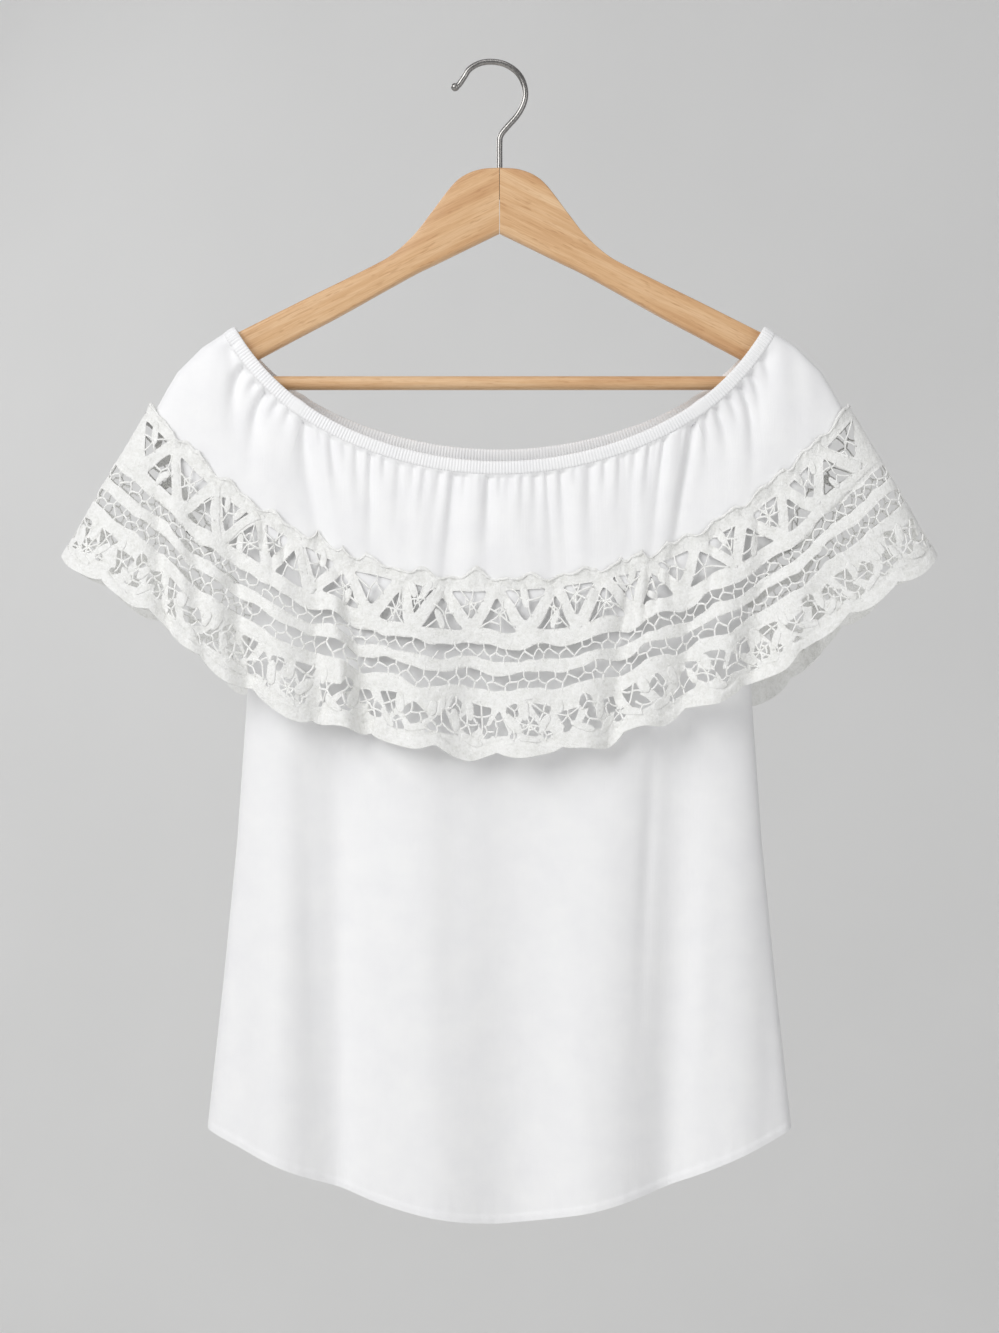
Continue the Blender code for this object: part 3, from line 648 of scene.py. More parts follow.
def object_from(name, points, faces, finish, uv=None):
    """A mesh object from an (n, 3) array of millimetre points and arrays of faces, (m, 4) or (m, 3) each."""
    mesh = bpy.data.meshes.new(name)
    corners = np.concatenate([face.ravel() for face in faces]).astype(np.int32)
    sizes = np.concatenate([np.full(len(face), face.shape[1]) for face in faces])
    mesh.vertices.add(len(points))
    mesh.vertices.foreach_set("co", (points * MM).astype(np.float32).ravel())
    mesh.loops.add(len(corners))
    mesh.loops.foreach_set("vertex_index", corners)
    mesh.polygons.add(len(sizes))
    mesh.polygons.foreach_set("loop_start", (np.cumsum(sizes) - sizes).astype(np.int32))
    mesh.update(calc_edges=True)
    if uv is not None:
        layer = mesh.uv_layers.new(name="cloth")
        layer.data.foreach_set("uv", (uv[corners] * MM).astype(np.float32).ravel())
    mesh.materials.append(finish)
    mesh.shade_smooth()
    made = bpy.data.objects.new(name, mesh)
    bpy.context.scene.collection.objects.link(made)
    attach(made, "root")
    return made


def grid_faces(rows, columns, close_columns=False, close_rows=False):
    """Quads of a grid of points numbered row by row, optionally closed round in either direction."""
    i = np.arange(rows if close_rows else rows - 1)[:, None]
    j = np.arange(columns if close_columns else columns - 1)[None, :]
    i_next, j_next = (i + 1) % rows, (j + 1) % columns
    quads = [i * columns + j, i_next * columns + j, i_next * columns + j_next, i * columns + j_next]
    return np.stack(quads, axis=-1).reshape(-1, 4)


def two_sided(points, thickness, flip):
    """Closes a (rows, columns, 3) grid into a thin wall: outer face, inner face and the edges between.

    The inner face is the outer one moved in along the grid's normal by the thickness.
    """
    rows, columns = points.shape[:2]
    by_row = np.gradient(points, axis=0)
    by_column = np.gradient(points, axis=1)
    normal = np.cross(by_row, by_column)
    normal /= np.linalg.norm(normal, axis=-1, keepdims=True) + 1e-12
    normal = -normal if flip else normal
    inner = points - normal * thickness
    outer_faces = grid_faces(rows, columns)
    inner_faces = outer_faces[:, ::-1] + rows * columns
    rim = np.concatenate([
        np.arange(columns - 1),
        np.arange(rows - 1) * columns + columns - 1,
        np.arange(columns - 1, 0, -1) + (rows - 1) * columns,
        np.arange(rows - 1, 0, -1) * columns,
    ])
    after = np.roll(rim, -1)
    rim_faces = np.stack([rim, after, after + rows * columns, rim + rows * columns], axis=-1)
    faces = np.concatenate([outer_faces, inner_faces, rim_faces])
    faces = faces[:, ::-1] if flip else faces
    return np.concatenate([points.reshape(-1, 3), inner.reshape(-1, 3)]), faces


class Pile:
    """Points and faces of many small closed shapes, gathered into one mesh."""

    def __init__(self):
        self.points, self.faces, self.count = [], [], 0

    def add(self, points, faces):
        """points: (shapes, n, 3); faces: (m, 4) within one shape."""
        shapes, n = points.shape[:2]
        starts = self.count + n * np.arange(shapes)[:, None, None]
        self.points.append(points.reshape(-1, 3))
        self.faces.append((faces[None] + starts).reshape(-1, faces.shape[1]))
        self.count += shapes * n

    def make(self, name, finish, slot):
        return object_from(name, np.concatenate(self.points), self.faces, finish)


# Materials


def hex_colour(code, alpha=1.0):
    """Linear RGBA of an sRGB hex value such as F4F4F2."""
    parts = [int(code[k : k + 2], 16) / 255.0 for k in (0, 2, 4)]
    linear = [c / 12.92 if c <= 0.04045 else ((c + 0.055) / 1.055) ** 2.4 for c in parts]
    return (*linear, alpha)


def link(tree, node, links):
    """Links a node's inputs, by name or number, each from a socket or from another node's first output."""
    for key, source in dict(links).items():
        tree.links.new(getattr(source, "outputs", [source])[0], node.inputs[key])


def add(tree, kind, settings=(), links=(), **values):
    """Adds a node: settings are its own properties, values its inputs by name, links its linked inputs."""
    node = tree.nodes.new(kind)
    for key, value in dict(settings).items():
        setattr(node, key, value)
    for key, value in values.items():
        node.inputs[key.replace("_", " ")].default_value = value
    link(tree, node, links)
    return node


def start_material(name, **surface):
    made = bpy.data.materials.new(name)
    made.use_nodes = True
    tree = made.node_tree
    shader = tree.nodes["Principled BSDF"]
    for key, value in surface.items():
        shader.inputs[key.replace("_", " ")].default_value = value
    return made, tree, shader


def ramp(tree, source, stops):
    node = add(tree, "ShaderNodeValToRGB", links={"Fac": source})
    elements = node.color_ramp.elements
    while len(elements) < len(stops):
        elements.new(0.5)
    for element, (place, code) in zip(elements, stops):
        element.position = place
        element.color = hex_colour(code)
    return node


def per_metre(millimetres):
    """Texture scale that gives one feature for this many millimetres."""
    return 1.0 / (millimetres * MM)


def bands_per_metre(millimetres):
    """Scale of a Wave texture whose bands lie this many millimetres apart: it has 20 radians to a unit."""
    return 2.0 * math.pi / 20.0 * per_metre(millimetres)


def woven_viscose():
    """Viscose plain weave, washed: soft matt white with a faint sheen, threads 0.4 mm apart.

    The threads are drawn 1.1 mm apart, because finer ones are lost in the picture. Broad noise gives
    the faint crumple of hung cloth and, as painted shade, a touch darker colour in its hollows; long
    streaks are thicker threads.
    """
    made, tree, shader = start_material(
        "viscose_plain_weave", Roughness=0.62, Sheen_Weight=0.12, Sheen_Roughness=0.4
    )
    place = add(tree, "ShaderNodeUVMap", {"uv_map": "cloth"})
    thread_waves = []
    for direction in ("X", "Y"):
        wave = add(
            tree, "ShaderNodeTexWave", {"wave_type": "BANDS", "bands_direction": direction}, {"Vector": place},
            Scale=bands_per_metre(1.1), Distortion=0.6, Detail=1.0,
        )
        thread_waves.append(wave.outputs["Fac"])
    weave = add(tree, "ShaderNodeMath", {"operation": "MULTIPLY"}, dict(enumerate(thread_waves)))
    stretched = add(tree, "ShaderNodeMapping", links={"Vector": place}, Scale=(1.0, 0.06, 1.0))
    slub = add(tree, "ShaderNodeTexNoise", links={"Vector": stretched}, Scale=per_metre(1.6), Detail=2.0)
    crumple = add(
        tree, "ShaderNodeTexNoise", links={"Vector": place}, Scale=per_metre(26.0), Detail=3.0, Roughness=0.55
    )
    # A touch darker where the crumple noise, which is also the bump's height, is low: painted shade in its hollows.
    tint = ramp(tree, crumple, ((0.3, "F4F4F5"), (0.7, "F8F8F8")))
    relief = ()
    for source, strength, distance in ((weave, 0.25, 0.0001), (slub, 0.3, 0.0003), (crumple, 0.3, 0.0010)):
        relief = add(
            tree, "ShaderNodeBump", links={"Height": source, **({"Normal": relief} if relief else {})},
            Strength=strength, Distance=distance,
        )
    link(tree, shader, {"Base Color": tint, "Normal": relief})
    return made


def cotton_tape(name, light, shade, relief=1.0):
    """Woven cotton tape lace, washed: dead matt, plain white, crinkled like felt between its threads.

    Fine noise is the felted yarn, drawn 1.9 mm coarse because finer is lost in the picture; the
    other noise is the crinkle, about 5 mm. Both also darken the colour a little where they sink, as
    painted shade in the felt's hollows. Single threads have only a faint relief.
    """
    made, tree, shader = start_material(name, Roughness=0.95, Sheen_Weight=0.08, Sheen_Roughness=0.6)
    place = add(tree, "ShaderNodeTexCoord").outputs["Object"]
    yarn, crinkle = (
        add(tree, "ShaderNodeTexNoise", links={"Vector": place}, Scale=per_metre(size), Detail=detail, Roughness=rough)
        for size, detail, rough in ((1.9, 3.0, 0.7), (5.0, 4.0, 0.65))
    )
    crinkle_share = add(tree, "ShaderNodeMath", {"operation": "MULTIPLY"}, {0: crinkle})
    crinkle_share.inputs[1].default_value = 0.55
    mixed = add(tree, "ShaderNodeMath", {"operation": "MULTIPLY_ADD"}, {0: yarn, 2: crinkle_share})
    mixed.inputs[1].default_value = 0.45
    # The shade colour where the yarn and crinkle noises are low and the light colour where they are high: painted
    # shade in the hollows of the relief.
    tint = ramp(tree, mixed, ((0.36, shade), (0.56, light)))
    fine = add(
        tree, "ShaderNodeBump", links={"Height": yarn}, Strength=0.9 * relief, Distance=0.0010 * relief
    )
    broad = add(
        tree, "ShaderNodeBump", links={"Height": crinkle, "Normal": fine}, Strength=0.5 * relief, Distance=0.0012
    )
    link(tree, shader, {"Base Color": tint, "Normal": broad})
    return made


def lacquered_beech(name, tilt):
    """Beech under clear satin lacquer: straight fine grain along the piece, tilted by this many degrees.

    Broad bands are growth rings about 9 mm apart as they run out at the face, thin dark flecks are the
    rays, 0.6 mm wide and 8 mm long.
    """
    made, tree, shader = start_material(name, Roughness=0.38, Coat_Weight=0.25, Coat_Roughness=0.22)
    place = add(tree, "ShaderNodeTexCoord").outputs["Object"]
    turned = add(tree, "ShaderNodeMapping", links={"Vector": place}, Rotation=(0.0, math.radians(tilt), 0.0))
    along = add(tree, "ShaderNodeMapping", links={"Vector": turned}, Scale=(0.045, 1.0, 1.0))
    short = add(tree, "ShaderNodeMapping", links={"Vector": turned}, Scale=(0.12, 1.0, 1.0))
    rings, fibre = (
        add(tree, "ShaderNodeTexNoise", links={"Vector": along}, Scale=per_metre(size), Detail=3.0, Roughness=rough)
        for size, rough in ((7.0, 0.5), (0.9, 0.6))
    )
    fleck = add(tree, "ShaderNodeTexNoise", links={"Vector": short}, Scale=per_metre(1.3), Detail=1.0)
    colour = ramp(tree, rings, ((0.3, "D3A679"), (0.5, "E0B78A"), (0.72, "EBC89F"))).outputs["Color"]
    for source, stops, share in (
        (fibre, ((0.3, "E4D3BF"), (0.6, "FFFFFF")), 0.55),
        (fleck, ((0.62, "FFFFFF"), (0.74, "C8A88A")), 0.35),
    ):
        mixed = add(
            tree, "ShaderNodeMix", {"data_type": "RGBA", "blend_type": "MULTIPLY"},
            {6: colour, 7: ramp(tree, source, stops)},
        )
        mixed.inputs[0].default_value = share
        colour = mixed.outputs[2]
    relief = add(tree, "ShaderNodeBump", links={"Height": fibre}, Strength=0.15, Distance=0.0002)
    link(tree, shader, {"Base Color": colour, "Normal": relief})
    return made


def drawn_steel():
    """Nickel-bright drawn steel wire: a metal with faint draw lines along it, fairly sharp reflections."""
    made, tree, shader = start_material("drawn_steel_wire", Metallic=1.0, Roughness=0.24)
    place = add(tree, "ShaderNodeTexCoord").outputs["Object"]
    draw = add(tree, "ShaderNodeTexNoise", links={"Vector": place}, Scale=per_metre(1.5), Detail=2.0)
    tint = ramp(tree, draw, ((0.3, "8E8C8A"), (0.7, "A8A6A3")))
    rough = add(tree, "ShaderNodeMapRange", links={"Value": draw}, To_Min=0.2, To_Max=0.32)
    link(tree, shader, {"Base Color": tint, "Roughness": rough})
    return made


def studio_paper():
    """Seamless paper of a studio: pale grey, matt, barely mottled. A faint glow stands for its own lamps."""
    made, tree, shader = start_material(
        "studio_paper", Roughness=0.9, Emission_Color=hex_colour("F3F3F2"), Emission_Strength=0.04
    )
    place = add(tree, "ShaderNodeTexCoord").outputs["Object"]
    cloud = add(tree, "ShaderNodeTexNoise", links={"Vector": place}, Scale=2.2, Detail=2.0)
    tint = ramp(tree, cloud, ((0.3, "ECECEB"), (0.7, "EFEFEE")))
    link(tree, shader, {"Base Color": tint})
    return made


# Body and sleeves


def raglan_x(half, z):
    """Half width of the raglan seam at this height: a straight line from the casing to the underarm."""
    top = neck_z(half, RAGLAN_NECK_X, UNDER_BAND)
    share = (top - z) / (top - UNDERARM_Z)
    return RAGLAN_NECK_X + (UNDERARM_X - RAGLAN_NECK_X) * share


def hem_z(across):
    """Height of the hem: a power curve from the middle up to the side seams."""
    return HEM_CENTRE_Z + (HEM_SIDE_Z - HEM_CENTRE_Z) * np.abs(across) ** HEM_POWER


def body_panel(half, finish):
    """Front or back of the body.

    Level runs from 0 at the casing over 1 at the flounce's seam to 2 at the hem, across from -1 to 1
    between the side seams. Front view: a straight blend between those three lines. Depth: cloth_depth,
    and the last strip is raised by the turned hem, with small puckers along its stitching.
    """
    upper = np.linspace(0.0, 1.0, 50) ** 1.15
    lower = np.linspace(1.0, 1.97, 50)[1:]
    hem = np.linspace(1.97, 2.0, 11)[1:]
    level = np.concatenate([upper, lower, hem])[:, None]
    across = np.linspace(-1.0, 1.0, 256)[None, :]
    neck_side = neck_z(half, RAGLAN_NECK_X, UNDER_BAND)
    lace_side = -343.0
    at_neck = neck_z(half, RAGLAN_NECK_X * across, UNDER_BAND)
    at_lace = LACE_LINE_Z + (lace_side - LACE_LINE_Z) * np.abs(across) ** LACE_LINE_POWER
    at_hem = hem_z(across)
    above = np.clip(level, 0.0, 1.0)
    below = np.clip(level - 1.0, 0.0, 1.0)
    z = at_neck + (at_lace - at_neck) * above + (at_hem - at_lace) * below
    side_z = neck_side + (lace_side - neck_side) * above + (HEM_SIDE_Z - lace_side) * below
    half_width = np.where(side_z > UNDERARM_Z, raglan_x(half, side_z) - SEAM, between(SIDE, side_z))
    x = across * half_width
    from_hem = z - at_hem
    raised = HEM_RAISE * (1.0 - smooth_step(HEM_WIDTH - 0.5, HEM_WIDTH + 0.7, from_hem))
    pucker = 0.35 * uneven_wave(HEM_PUCKERS, x) * bump(from_hem - HEM_WIDTH, 9.0)
    points = on_cloth(half, x, z, raised + pucker)
    sides = points[:, [0, -1]]
    points[:, [0, -1], 1] = np.where(sides[..., 2] < UNDERARM_Z, half["sign"] * SIDE_SEAM_Y, sides[..., 1])
    walled, faces = two_sided(points, CLOTH_THICKNESS, half["sign"] < 0)
    uv = np.tile(np.stack([x, z], axis=-1).reshape(-1, 2), (2, 1))
    made = object_from(f"cloth_{half['name']}", walled, [faces], finish, uv)
    made.data.set_sharp_from_angle(angle=math.radians(60.0))
    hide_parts(f"{half['name']}_panel")
    return made


HEM_PUCKERS = ripple(5, 7, 0.25, 0.7)


def sleeve_grid(half, side, level, toward):
    """Half of a sleeve from its raglan seam (toward 0) to the shoulder ridge (toward 1)."""
    across = np.linspace(0.0, 1.0, 400)
    line_x, _ = neck_line(half, across, UNDER_BAND)
    start = np.interp(RAGLAN_NECK_X, line_x, across)
    neck_x, neck_height = neck_line(half, start + (1.0 - start) * toward, UNDER_BAND)
    end_x = between(RIDGE, SLEEVE_END_Z)
    cuff_x = UNDERARM_X + (end_x - UNDERARM_X) * toward
    cuff_z = UNDERARM_Z + (SLEEVE_END_Z - UNDERARM_Z) * toward
    x = neck_x + (cuff_x - neck_x) * level
    z = neck_height + (cuff_z - neck_height) * level
    bulge = between(RIDGE, z[:, -1:]) - x[:, -1:]
    x = np.minimum(x + bulge * toward**3 + SEAM, between(RIDGE, z))
    return on_cloth(half, side * x, z)


def sleeve(name, side, node, finish):
    """Raglan cap: its rows run from the casing to the cuff, its columns over the shoulder ridge."""
    level = np.linspace(0.0, 1.0, 50)[:, None] ** 1.1
    toward = 1.0 - (1.0 - np.linspace(0.0, 1.0, 72)[None, :]) ** 2.0
    front = sleeve_grid(FRONT, side, level, toward)
    back = sleeve_grid(BACK, side, level, toward)
    front[:, -1, 1] = 0.0
    points = np.concatenate([front, back[:, -2::-1]], axis=1)
    walled, faces = two_sided(points, CLOTH_THICKNESS, side > 0)
    drawn = np.sign(points[..., 1:2]) * 2.0 + points[..., 1:2]
    flat = np.concatenate([points[..., :1] + drawn, points[..., 2:]], axis=-1)
    uv = np.tile(flat.reshape(-1, 2), (2, 1))
    made = object_from(name, walled, [faces], finish, uv)
    made.data.set_sharp_from_angle(angle=math.radians(60.0))
    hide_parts(node)
    return made


def ring_share(count):
    """The neck ring at even distances: share of the neck line, 1 for front or -1 for back, distance."""
    toward = np.linspace(-1.0, 1.0, 1201)
    share = np.sign(toward) * (1.0 - (1.0 - np.abs(toward)) ** 3.5)
    share = np.concatenate([share, share[-2:0:-1]])
    front = np.concatenate([np.ones(1201), -np.ones(1199)])
    places = ring_points(share, front, 0.5 * BAND_HEIGHT)
    steps = np.linalg.norm(np.roll(places, -1, axis=0) - places, axis=1)
    length = np.concatenate(([0.0], np.cumsum(steps)))
    even = np.linspace(0.0, length[-1], count, endpoint=False)
    order = np.interp(even, length[:-1], np.arange(len(share)))
    low = np.floor(order).astype(int)
    high = (low + 1) % len(share)
    mix = order - low
    return share[low] * (1.0 - mix) + share[high] * mix, front[low], even


def ring_points(share, front, below):
    places = np.zeros((len(share), 3))
    for half, mine in ((FRONT, front > 0.0), (BACK, front < 0.0)):
        x, z = neck_line(half, share[mine], below)
        places[mine] = on_cloth(half, x, z, 0.6)
    places[np.abs(share) > 0.999999, 1] = 0.0
    return places


def neck_casing(finish):
    """The elastic casing: a flattened tube round the neck, ribbed by its gathers.

    Section: a superellipse between the casing's upper and lower edge. Its thickness and its edges
    swell and sink with the ribs. Where a raglan seam crosses, it is thicker and its ribs lie flat.
    """
    around = 12
    share, front, even = ring_share(3600)
    upper = ring_points(share, front, 0.0)
    lower = ring_points(share, front, BAND_HEIGHT)
    forward = np.roll(upper, -1, axis=0) - np.roll(upper, 1, axis=0)
    forward /= np.linalg.norm(forward, axis=1, keepdims=True)
    down = lower - upper
    outward = np.cross(down, forward)
    outward /= np.linalg.norm(outward, axis=1, keepdims=True)
    phase = 2.0 * math.pi * even / RIB_PITCH + 1.5 * uneven_wave(RIB_DRIFT, even)
    rib = np.cos(phase) * (0.75 + 0.25 * uneven_wave(RIB_DRIFT, even + 40.0))
    flat = 1.0 - 0.85 * bump(np.abs(upper[:, 0]) - RAGLAN_NECK_X, 6.0)
    turn = np.linspace(0.0, 2.0 * math.pi, around, endpoint=False)[:, None]
    squared = np.sign(np.cos(turn)) * np.abs(np.cos(turn)) ** 0.7
    rounded = np.sign(np.sin(turn)) * np.abs(np.sin(turn)) ** 0.8
    place = 0.5 - 0.5 * squared
    seam = bump(np.abs(upper[:, 0]) - RAGLAN_NECK_X, 4.5)
    bulk = 1.25 * (1.0 + 0.22 * rib * flat + 0.35 * seam)
    across = place[..., None] * down[None]
    edge = (0.12 * rib * flat + 0.5 * seam)[None, :, None] * squared[..., None] * -down[None] / BAND_HEIGHT
    groove = 0.5 * bump(place - 0.84, 0.07)
    thick = rounded * (bulk[None] - groove * (rounded > 0.0))
    points = upper[None] + across + edge + thick[..., None] * outward[None]
    points = points.transpose(1, 0, 2).reshape(-1, 3)
    faces = grid_faces(len(share), around, close_columns=True, close_rows=True)
    uv = np.stack([np.repeat(even, around), np.tile(turn[:, 0] * 4.0, len(share))], axis=-1)
    made = object_from("casing", points, [faces], finish, uv)
    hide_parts("neck_casing")
    return made


RIB_DRIFT = ripple(6, 6, 0.02, 0.09)


# Lace


def lace_edge(along_mm):
    """Depth of the scalloped lower edge below the strip's top, in millimetres."""
    wave = np.abs(np.sin(math.pi * along_mm / HALF_MOTIF))
    uneven = 0.9 * uneven_wave(EDGE_WANDER, along_mm)
    return LACE_HEIGHT - SCALLOP_DEPTH + (SCALLOP_DEPTH - 1.0) * wave**0.8 + uneven


EDGE_WANDER = ripple(9, 5, 0.05, 0.16)


def zigzag(rng):
    """Where the broad tape of the upper band turns: its upper and its lower corners, as along and down."""
    upper = np.arange(SCALLOPS + 1) * HALF_MOTIF
    upper[1:-1] += rng.uniform(-6.0, 6.0, SCALLOPS - 1)
    lower = (np.arange(SCALLOPS) + 0.5) * HALF_MOTIF + rng.uniform(-6.0, 6.0, SCALLOPS)
    above = UPPER_BAND[0] + rng.uniform(-1.0, 3.0, SCALLOPS + 1)
    below = UPPER_BAND[1] + rng.uniform(-3.0, 1.0, SCALLOPS)
    return np.stack([upper, above], -1), np.stack([lower, below], -1)


def between_tapes(corners, level_inset, tape_inset):
    """A triangular hole: the first side, which is level, and the two along the tapes are each moved in."""
    side_line = np.roll(corners, -1, axis=0) - corners
    side = np.stack([side_line[:, 1], -side_line[:, 0]], -1)
    side /= np.linalg.norm(side, axis=1, keepdims=True)
    centre = corners.mean(axis=0)
    away = ((corners - centre) * side).sum(axis=1)
    inset = np.array([level_inset, tape_inset, tape_inset])
    return centre, side * np.sign(away)[:, None], np.abs(away) - inset


def lace_openings(upper, lower, rng):
    """The holes of the floral bands: centre, directions and distances of its sides, spokes, hubs.

    A hole is a polygon: the part of the plane within its own distance of the centre in each of its
    directions. The upper band's are triangles between the turns of its tape. The lower band's are
    varied a little from hole to hole.
    """
    found = []
    for number in range(SCALLOPS):
        webs = ((7, 1), (5, 2), (8, 1), (5, 1), (6, 1), (4, 2))
        corners = np.stack([upper[number], upper[number + 1], lower[number]])
        found.append((*between_tapes(corners, 2.6, 4.9), *webs[rng.integers(6)]))
        if number:
            corners = np.stack([lower[number - 1], lower[number], upper[number]])
            found.append((*between_tapes(corners, 0.8, 4.9), *webs[rng.integers(6)]))
    for number in range(SCALLOPS + 1):
        for along, down, reach, sides, turn, spokes, hubs in MOTIFS[number % len(MOTIFS)]:
            centre = np.array([number * HALF_MOTIF + along, down]) + rng.uniform(-1.2, 1.2, 2)
            angle = math.radians(turn) + np.arange(sides) * 2.0 * math.pi / sides
            angle = angle + rng.uniform(-0.17, 0.17, sides)
            side = np.stack([np.cos(angle), np.sin(angle)], -1)
            found.append((centre, side, reach * rng.uniform(0.85, 1.12, sides), spokes, hubs))
    return found


def opened(along, down, found):
    """Distance in millimetres into the lace's holes at each grid point, negative in the solid lace.

    Nets are long strips with wavering edges. A polygon's corners are rounded by a soft maximum over
    its sides.
    """
    into = np.full(along.shape, -9.0)
    for number, (top, low) in enumerate(NETS):
        waver = 1.9 * uneven_wave(NET_WANDER, along + 70.0 * number)
        other = 1.9 * uneven_wave(NET_WANDER, 1.3 * along + 31.0 * number)
        into = np.maximum(into, np.minimum(down - top - waver, low + other - down))
    for centre, side, distance, _, _ in found:
        window = (np.abs(along - centre[0]) < 30.0) & (np.abs(down - centre[1]) < 30.0)
        place = np.stack([along[window], down[window]], -1) - centre
        beyond = np.exp((place @ side.T - distance) / CORNER_ROUNDING)
        into[window] = np.maximum(into[window], -CORNER_ROUNDING * np.log(beyond.sum(axis=1)))
    return np.minimum(into, np.minimum(along, LACE_HALF_LENGTH - along) - END_BORDER)


NET_WANDER = ripple(10, 6, 0.07, 0.3)
CRINKLE = 0.35


def crinkle(half, along, down):
    """Felted crinkles of washed cotton: a sum of sines in many directions, waves 4 to 11 mm long."""
    rng = np.random.default_rng(half["seed"] + 40)
    total = np.zeros_like(along)
    for _ in range(14):
        angle, wave, phase = rng.uniform(0.0, math.pi), rng.uniform(4.0, 11.0), rng.uniform(0.0, 6.3)
        turned = along * math.cos(angle) + down * math.sin(angle)
        total += np.sin(turned * 2.0 * math.pi / wave + phase)
    return total / 14.0


def lace_relief(half, along, down):
    """Height of the lace's outer face: tapes and edge stand up, with a broken groove beside the edge."""
    from_edge = lace_edge(along) - down
    height = CRINKLE * crinkle(half, along, down)
    for middle, width in TAPES:
        height += 0.3 * (1.0 - smooth_step(0.5 * width - 1.0, 0.5 * width + 0.6, np.abs(down - middle)))
    height += 0.4 * (1.0 - smooth_step(EDGE_WIDTH - 1.2, EDGE_WIDTH, from_edge))
    broken = np.clip(0.6 + 1.2 * uneven_wave(EDGE_WANDER, 2.3 * along), 0.0, 1.0)
    pleats = 0.7 * uneven_wave(FRILL, 1.6 * along + 0.2 * down) * np.exp(-((down / 8.0) ** 2))
    stitched = 0.5 * bump(down - 6.4 - 0.8 * uneven_wave(EDGE_WANDER, along), 0.8)
    groove = 1.1 * bump(from_edge - EDGE_WIDTH - 0.8, 0.8)
    return height + pleats - broken * (groove + stitched)


def cut_lace(half, found, finish):
    """The solid lace: a wall over a grid along and down, without the cells that lie in a hole.

    Grid points near a hole's outline are moved on to it, so that the outline is smooth. The lowest
    rows follow the scalloped edge.
    """
    columns = int(LACE_HALF_LENGTH / LACE_CELL) + 1
    rows = int((LACE_HEIGHT - SCALLOP_DEPTH) / LACE_CELL) + 2
    along, down = np.meshgrid(
        np.linspace(0.0, LACE_HALF_LENGTH, columns), np.linspace(0.0, LACE_HEIGHT - SCALLOP_DEPTH, rows)
    )
    down = down + (lace_edge(along) - down[-1:]) * smooth_step(112.0, LACE_HEIGHT - SCALLOP_DEPTH, down)
    into = opened(along, down, found)
    down_slope, along_slope = np.gradient(into)
    down_slope, along_slope = down_slope / LACE_CELL, along_slope / LACE_CELL
    steep = along_slope**2 + down_slope**2 + 0.2
    move = np.where(np.abs(into) < 0.8 * LACE_CELL, into, 0.0) / steep
    inner = np.zeros_like(move)
    inner[1:-1, 1:-1] = 1.0
    moved_along, moved_down = along - inner * move * along_slope, down - inner * move * down_slope
    raised = lace_relief(half, along, down)
    outer = on_lace(half, moved_along, moved_down, 0.45 + raised)
    back = on_lace(half, moved_along, moved_down, -0.45 + 0.5 * raised)
    centre = 0.25 * (into[:-1, :-1] + into[1:, :-1] + into[:-1, 1:] + into[1:, 1:])
    kept = centre < 0.0
    kept[0], kept[-1] = True, True
    for _ in range(2):
        falling = kept[:-1, :-1] & kept[1:, 1:] & ~kept[:-1, 1:] & ~kept[1:, :-1]
        rising = kept[1:, :-1] & kept[:-1, 1:] & ~kept[:-1, :-1] & ~kept[1:, 1:]
        kept[:-1, 1:] |= falling
        kept[:-1, :-1] |= rising
    faces = wall_faces(kept, rows, columns)
    faces = faces[:, ::-1] if half["sign"] > 0 else faces
    points = np.concatenate([outer.reshape(-1, 3), back.reshape(-1, 3)])
    used, order = np.unique(faces, return_inverse=True)
    faces = order.reshape(faces.shape)
    made = object_from(f"lace_{half['name']}_cloth", points[used], [faces], finish)
    made.data.set_sharp_from_angle(angle=math.radians(70.0))
    return made


def wall_faces(kept, rows, columns):
    """Faces of a wall whose outer and inner points are two equal grids: kept cells and their rims."""
    cell = kept.ravel()
    outer = grid_faces(rows, columns)[cell]
    shift = rows * columns
    padded = np.pad(kept, 1)
    number = np.arange(shift).reshape(rows, columns)
    rims = []
    left, right = padded[1:-1, :-1], padded[1:-1, 1:]
    upper, lower = padded[:-1, 1:-1], padded[1:, 1:-1]
    for here, start, end in (
        (right & ~left, number[:-1], number[1:]),
        (left & ~right, number[1:], number[:-1]),
        (lower & ~upper, number[:, 1:], number[:, :-1]),
        (upper & ~lower, number[:, :-1], number[:, 1:]),
    ):
        a, b = start[here], end[here]
        rims.append(np.stack([b, a, a + shift, b + shift], -1))
    return np.concatenate([outer, outer[:, ::-1] + shift] + rims)


